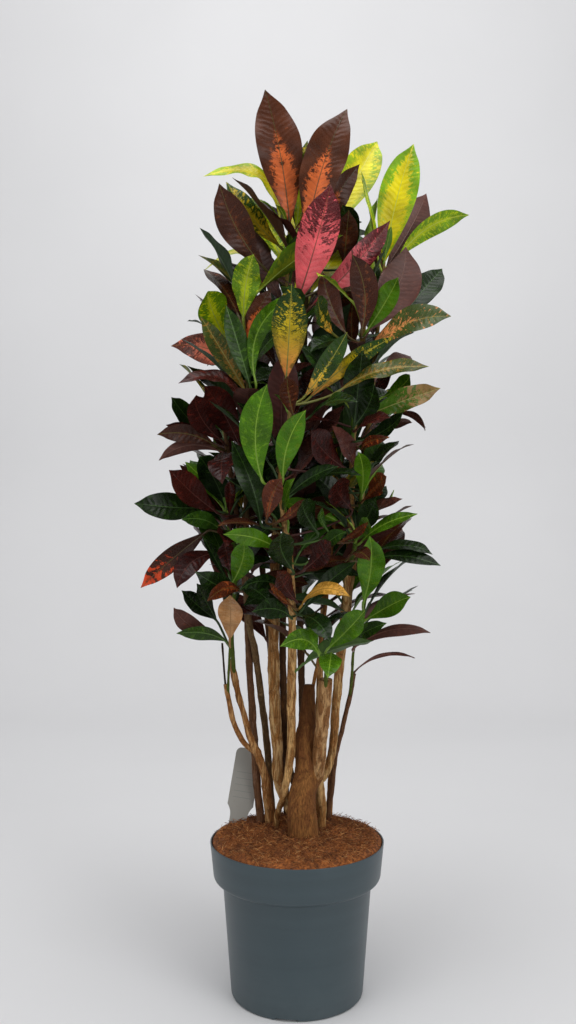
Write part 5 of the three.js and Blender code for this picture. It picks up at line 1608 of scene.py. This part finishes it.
def fibre_tree():
    """Coir fibres: short bent hairs strewn over the crumbs, each with a tint of its own."""
    tree, given = shape_tree("coir_fibres", {
        "Fibres a square metre": ("Float", 100000.0), "Fibre length": ("Float", 12 * MM),
        "Fibre thickness": ("Float", 0.3 * MM), "Seed": ("Int", 3), "Fibre": ("Material", None),
        "Bed radius": ("Float", 115 * MM), "Bed height": ("Float", 190 * MM),
    })
    place = node(tree, "GeometryNodeInputPosition")
    level = node(tree, "ShaderNodeVectorMath", {0: place, 1: (1, 1, 0)}, operation="MULTIPLY")
    level = node(tree, "ShaderNodeVectorMath", {0: level}, operation="LENGTH")
    top = node(tree, "ShaderNodeMath", {0: level, 1: given["Bed radius"]}, operation="LESS_THAN")
    high = node(tree, "ShaderNodeSeparateXYZ", {0: place})
    high = node(tree, "ShaderNodeMath",
                {0: high.outputs["Z"], 1: given["Bed height"]}, operation="GREATER_THAN")
    top = node(tree, "ShaderNodeMath", {0: top, 1: high}, operation="MULTIPLY")
    spots = node(tree, "GeometryNodeDistributePointsOnFaces", {
        "Mesh": given["Geometry"], "Selection": top,
        "Density": given["Fibres a square metre"], "Seed": given["Seed"]})
    bend = node(tree, "GeometryNodeCurveQuadraticBezier",
                {"Resolution": 4, "Start": (-0.5, 0, 0.02), "Middle": (0.0, 0.35, 0.22),
                 "End": (0.5, 0, 0.0)})
    ring = node(tree, "GeometryNodeCurvePrimitiveCircle", {"Resolution": 3})
    thin = node(tree, "ShaderNodeMath",
                {0: given["Fibre thickness"], 1: given["Fibre length"]},
                operation="DIVIDE")
    hair = node(tree, "GeometryNodeCurveToMesh",
                {"Curve": bend, "Profile Curve": ring, "Scale": thin, "Fill Caps": True})
    turn = node(tree, "FunctionNodeRandomValue",
                {0: (-0.8, -0.9, 0.0), 1: (0.8, 0.9, 6.283), "Seed": given["Seed"]},
                data_type="FLOAT_VECTOR")
    turn = node(tree, "FunctionNodeEulerToRotation", {0: turn})
    stretch = node(tree, "FunctionNodeRandomValue",
                   {0: (0.35, 0.25, 0.4), 1: (1.5, 1.6, 1.2), "Seed": 11}, data_type="FLOAT_VECTOR")
    grow = node(tree, "ShaderNodeVectorMath", {0: stretch, "Scale": given["Fibre length"]},
                operation="SCALE")
    strewn = node(tree, "GeometryNodeInstanceOnPoints",
                  {"Points": spots, "Instance": hair, "Rotation": turn, "Scale": grow})
    tint = node(tree, "FunctionNodeRandomValue", {"Seed": 7}, data_type="FLOAT")
    strewn = node(tree, "GeometryNodeStoreNamedAttribute",
                  {"Geometry": strewn, "Name": "fibre_tint", "Value": tint}, domain="INSTANCE")
    strewn = node(tree, "GeometryNodeRealizeInstances", {"Geometry": strewn})
    strewn = node(tree, "GeometryNodeSetMaterial", {"Geometry": strewn, "Material": given["Fibre"]})
    node(tree, "NodeGroupOutput", {"Geometry": strewn})
    return tree


def dress_soil():
    """Coir heaped in the pot: a crumbly mound, with loose fibres strewn on it."""
    rings, sides = SOIL_RINGS, SOIL_SIDES
    reach = SOIL_PROFILE[-1][0]
    points = [(0, 0, soil_height(0))]
    for i in range(1, rings + 1):
        radius = reach * i / rings
        for k in range(sides):
            turn = 2 * math.pi * k / sides
            x, y = radius * math.cos(turn), radius * math.sin(turn)
            lumps = noise.fractal(Vector((x, y, 0)) * LUMPS_PER_MM, 0.9, 2.1, 4)
            grit = noise.noise(Vector((x, y, 5)) * GRIT_PER_MM)
            crumbs = LUMP_HEIGHT * lumps + GRIT_HEIGHT * grit
            settle = smooth_step(reach, reach - EDGE_WIDTH, radius)
            heap = HEAP_HEIGHT * smooth_step(*HEAP_RADII, radius) - EDGE_FALL * settle
            height = soil_height(radius) + heap + crumbs * (0.3 + 0.7 * settle)
            points.append((x, y, height))
    for radius, height in SOIL_UNDERSIDE:
        points += circle(radius, height, sides)
    points.append((0, 0, SOIL_UNDERSIDE[-1][1]))
    faces = [(0, 1 + k, 1 + (k + 1) % sides) for k in range(sides)]
    for i in range(rings + 2):
        first = 1 + i * sides
        for k in range(sides):
            after = (k + 1) % sides
            faces.append((first + k, first + sides + k, first + sides + after, first + after))
    last = 1 + (rings + 2) * sides
    faces += [(last + k, len(points) - 1, last + (k + 1) % sides) for k in range(sides)]
    mesh = bpy.data.meshes.new("soil_dressed")
    mesh.from_pydata([[c * MM for c in point] for point in points], [], faces)
    mesh.materials.append(coconut_coir("coconut_coir", None))
    mesh.shade_smooth()
    show(mesh, "soil_dressed", "coir", "soil")
    bed = placed("fibre_bed", mesh.copy())
    dry_coir = coconut_coir("dry_coir_fibre", "fibre_tint")
    fibres = grown_mesh(bed, fibre_tree(), {"Fibre": dry_coir})
    bpy.data.objects.remove(bed)
    strewn = placed("coir_fibres", fibres)
    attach(strewn, "root")


def dress_label():
    """The plant label: a thin tag on a pointed stake, slightly curled across its width."""
    half, neck = LABEL_WIDTH / 2, LABEL_NECK / 2
    side = [(neck, -10), (neck, 0)]
    for i in range(1, 7):
        share = i / 6
        side.append((neck * (1 - share) ** 2 + 2 * neck * share * (1 - share) + half * share ** 2,
                     LABEL_SHOULDER * share ** 2 + LABEL_SHOULDER * share * (1 - share)))
    for i in range(7):
        turn = math.radians(15 * i)
        side.append((half - LABEL_CORNER * (1 - math.cos(turn)),
                     LABEL_LENGTH - LABEL_CORNER * (1 - math.sin(turn))))
    rows = [(3, -LABEL_STAKE)] + side
    columns = LABEL_COLUMNS
    bend = Matrix.Rotation(math.radians(LABEL_LEAN_SIDE), 4, "Y")
    bend @= Matrix.Rotation(math.radians(-LABEL_LEAN_BACK), 4, "X")
    bend @= Matrix.Rotation(math.radians(90), 4, "X")
    place = Matrix.Translation(LABEL_FOOT) @ bend
    piece = Gathered()
    points, places = [], []
    for face in (1, -1):
        for reach, along in rows:
            for j in range(columns):
                across = reach * (2 * j / (columns - 1) - 1)
                curl = LABEL_CURL * (across / half) ** 2 * smooth_step(-10, 30, along)
                points.append(place @ Vector((across, along, face * LABEL_THICKNESS / 2 - curl)))
                places.append((across, along, 0))
    count, faces = len(rows) * columns, []
    for i in range(len(rows) - 1):
        for j in range(columns - 1):
            here = i * columns + j
            quad = (here, here + 1, here + columns + 1, here + columns)
            faces.append(quad)
            faces.append(tuple(count + corner for corner in quad[::-1]))
        for j, flip in ((0, False), (columns - 1, True)):
            here = i * columns + j
            quad = (here, here + columns, here + columns + count, here + count)
            faces.append(quad[::-1] if flip else quad)
    for i, flip in ((0, True), (len(rows) - 1, False)):
        for j in range(columns - 1):
            here = i * columns + j
            quad = (here, here + 1, here + 1 + count, here + count)
            faces.append(quad[::-1] if flip else quad)
    grey = [linear("#a3a29b")] * len(TONES)
    piece.add(points, faces, 0, grey, NO_MARKS, places, [(0, 0, 0)] * len(points))
    mesh = piece.mesh("label_dressed", (label_polystyrene(),))
    mesh.set_sharp_from_angle(angle=math.radians(SHARP_EDGE))
    show(mesh, "label_dressed", "label_plastic", "plant_label")


# ---- floor, light and camera ----
def plain_paint(name, hex_code, roughness):
    made, tree = bare_finish(name)
    spot = node(tree, "ShaderNodeTexCoord").outputs["Object"]
    soft = node(tree, "ShaderNodeTexNoise", {"Vector": spot, "Scale": 1.6, "Detail": 3.0})
    value = node(tree, "ShaderNodeMapRange", {"Value": soft, "To Min": 0.96, "To Max": 1.04})
    colour = node(tree, "ShaderNodeHueSaturation", {"Color": linear(hex_code), "Value": value})
    return surfaced(made, {"Base Color": colour, "Roughness": roughness})


def set_stage():
    """A pale floor that sweeps up into a far pale backdrop, soft light and the camera."""
    line = [(-SWEEP_FRONT, 0.0), (SWEEP_BACK - SWEEP_TURN, 0.0)]
    for step in range(1, 13):
        turn = math.radians(7.5 * step)
        line.append((SWEEP_BACK - SWEEP_TURN + SWEEP_TURN * math.sin(turn),
                     SWEEP_TURN - SWEEP_TURN * math.cos(turn)))
    line.append((SWEEP_BACK, SWEEP_TOP))
    points = [(x, y, z) for y, z in line for x in (-SWEEP_SIDE, SWEEP_SIDE)]
    faces = [(2 * i, 2 * i + 1, 2 * i + 3, 2 * i + 2) for i in range(len(line) - 1)]
    mesh = bpy.data.meshes.new("studio_sweep")
    mesh.from_pydata(points, [], faces)
    mesh.materials.append(plain_paint("matt_studio_paint", "#dfdfe0", 0.6))
    mesh.shade_smooth()
    sweep = placed("studio_sweep", mesh)

    for name, place, aim, size, power in LAMPS:
        light = bpy.data.lights.new(name, "AREA")
        light.shape, light.size, light.energy = "SQUARE", size, power
        lamp = placed(name, light)
        lamp.location = place
        lamp.rotation_euler = (Vector(aim) - Vector(place)).to_track_quat("-Z", "Y").to_euler()
    world = bpy.data.worlds.new("soft_room")
    world.use_nodes = True
    background = world.node_tree.nodes["Background"]
    background.inputs["Color"].default_value = linear("#e8e8ea")
    background.inputs["Strength"].default_value = WORLD_STRENGTH
    bpy.context.scene.world = world
    bpy.context.scene.view_settings.view_transform = "Standard"

    lens = bpy.data.cameras.new("camera")
    lens.lens, lens.sensor_width, lens.sensor_fit = FOCAL_LENGTH, 36, "AUTO"
    camera = placed("camera", lens)
    camera.location = EYE * MM
    camera.rotation_euler = (math.radians(90), 0, 0)
    bpy.context.scene.camera = camera


dress_plants()
dress_pot()
dress_soil()
dress_label()
set_stage()

bpy.context.view_layer.update()
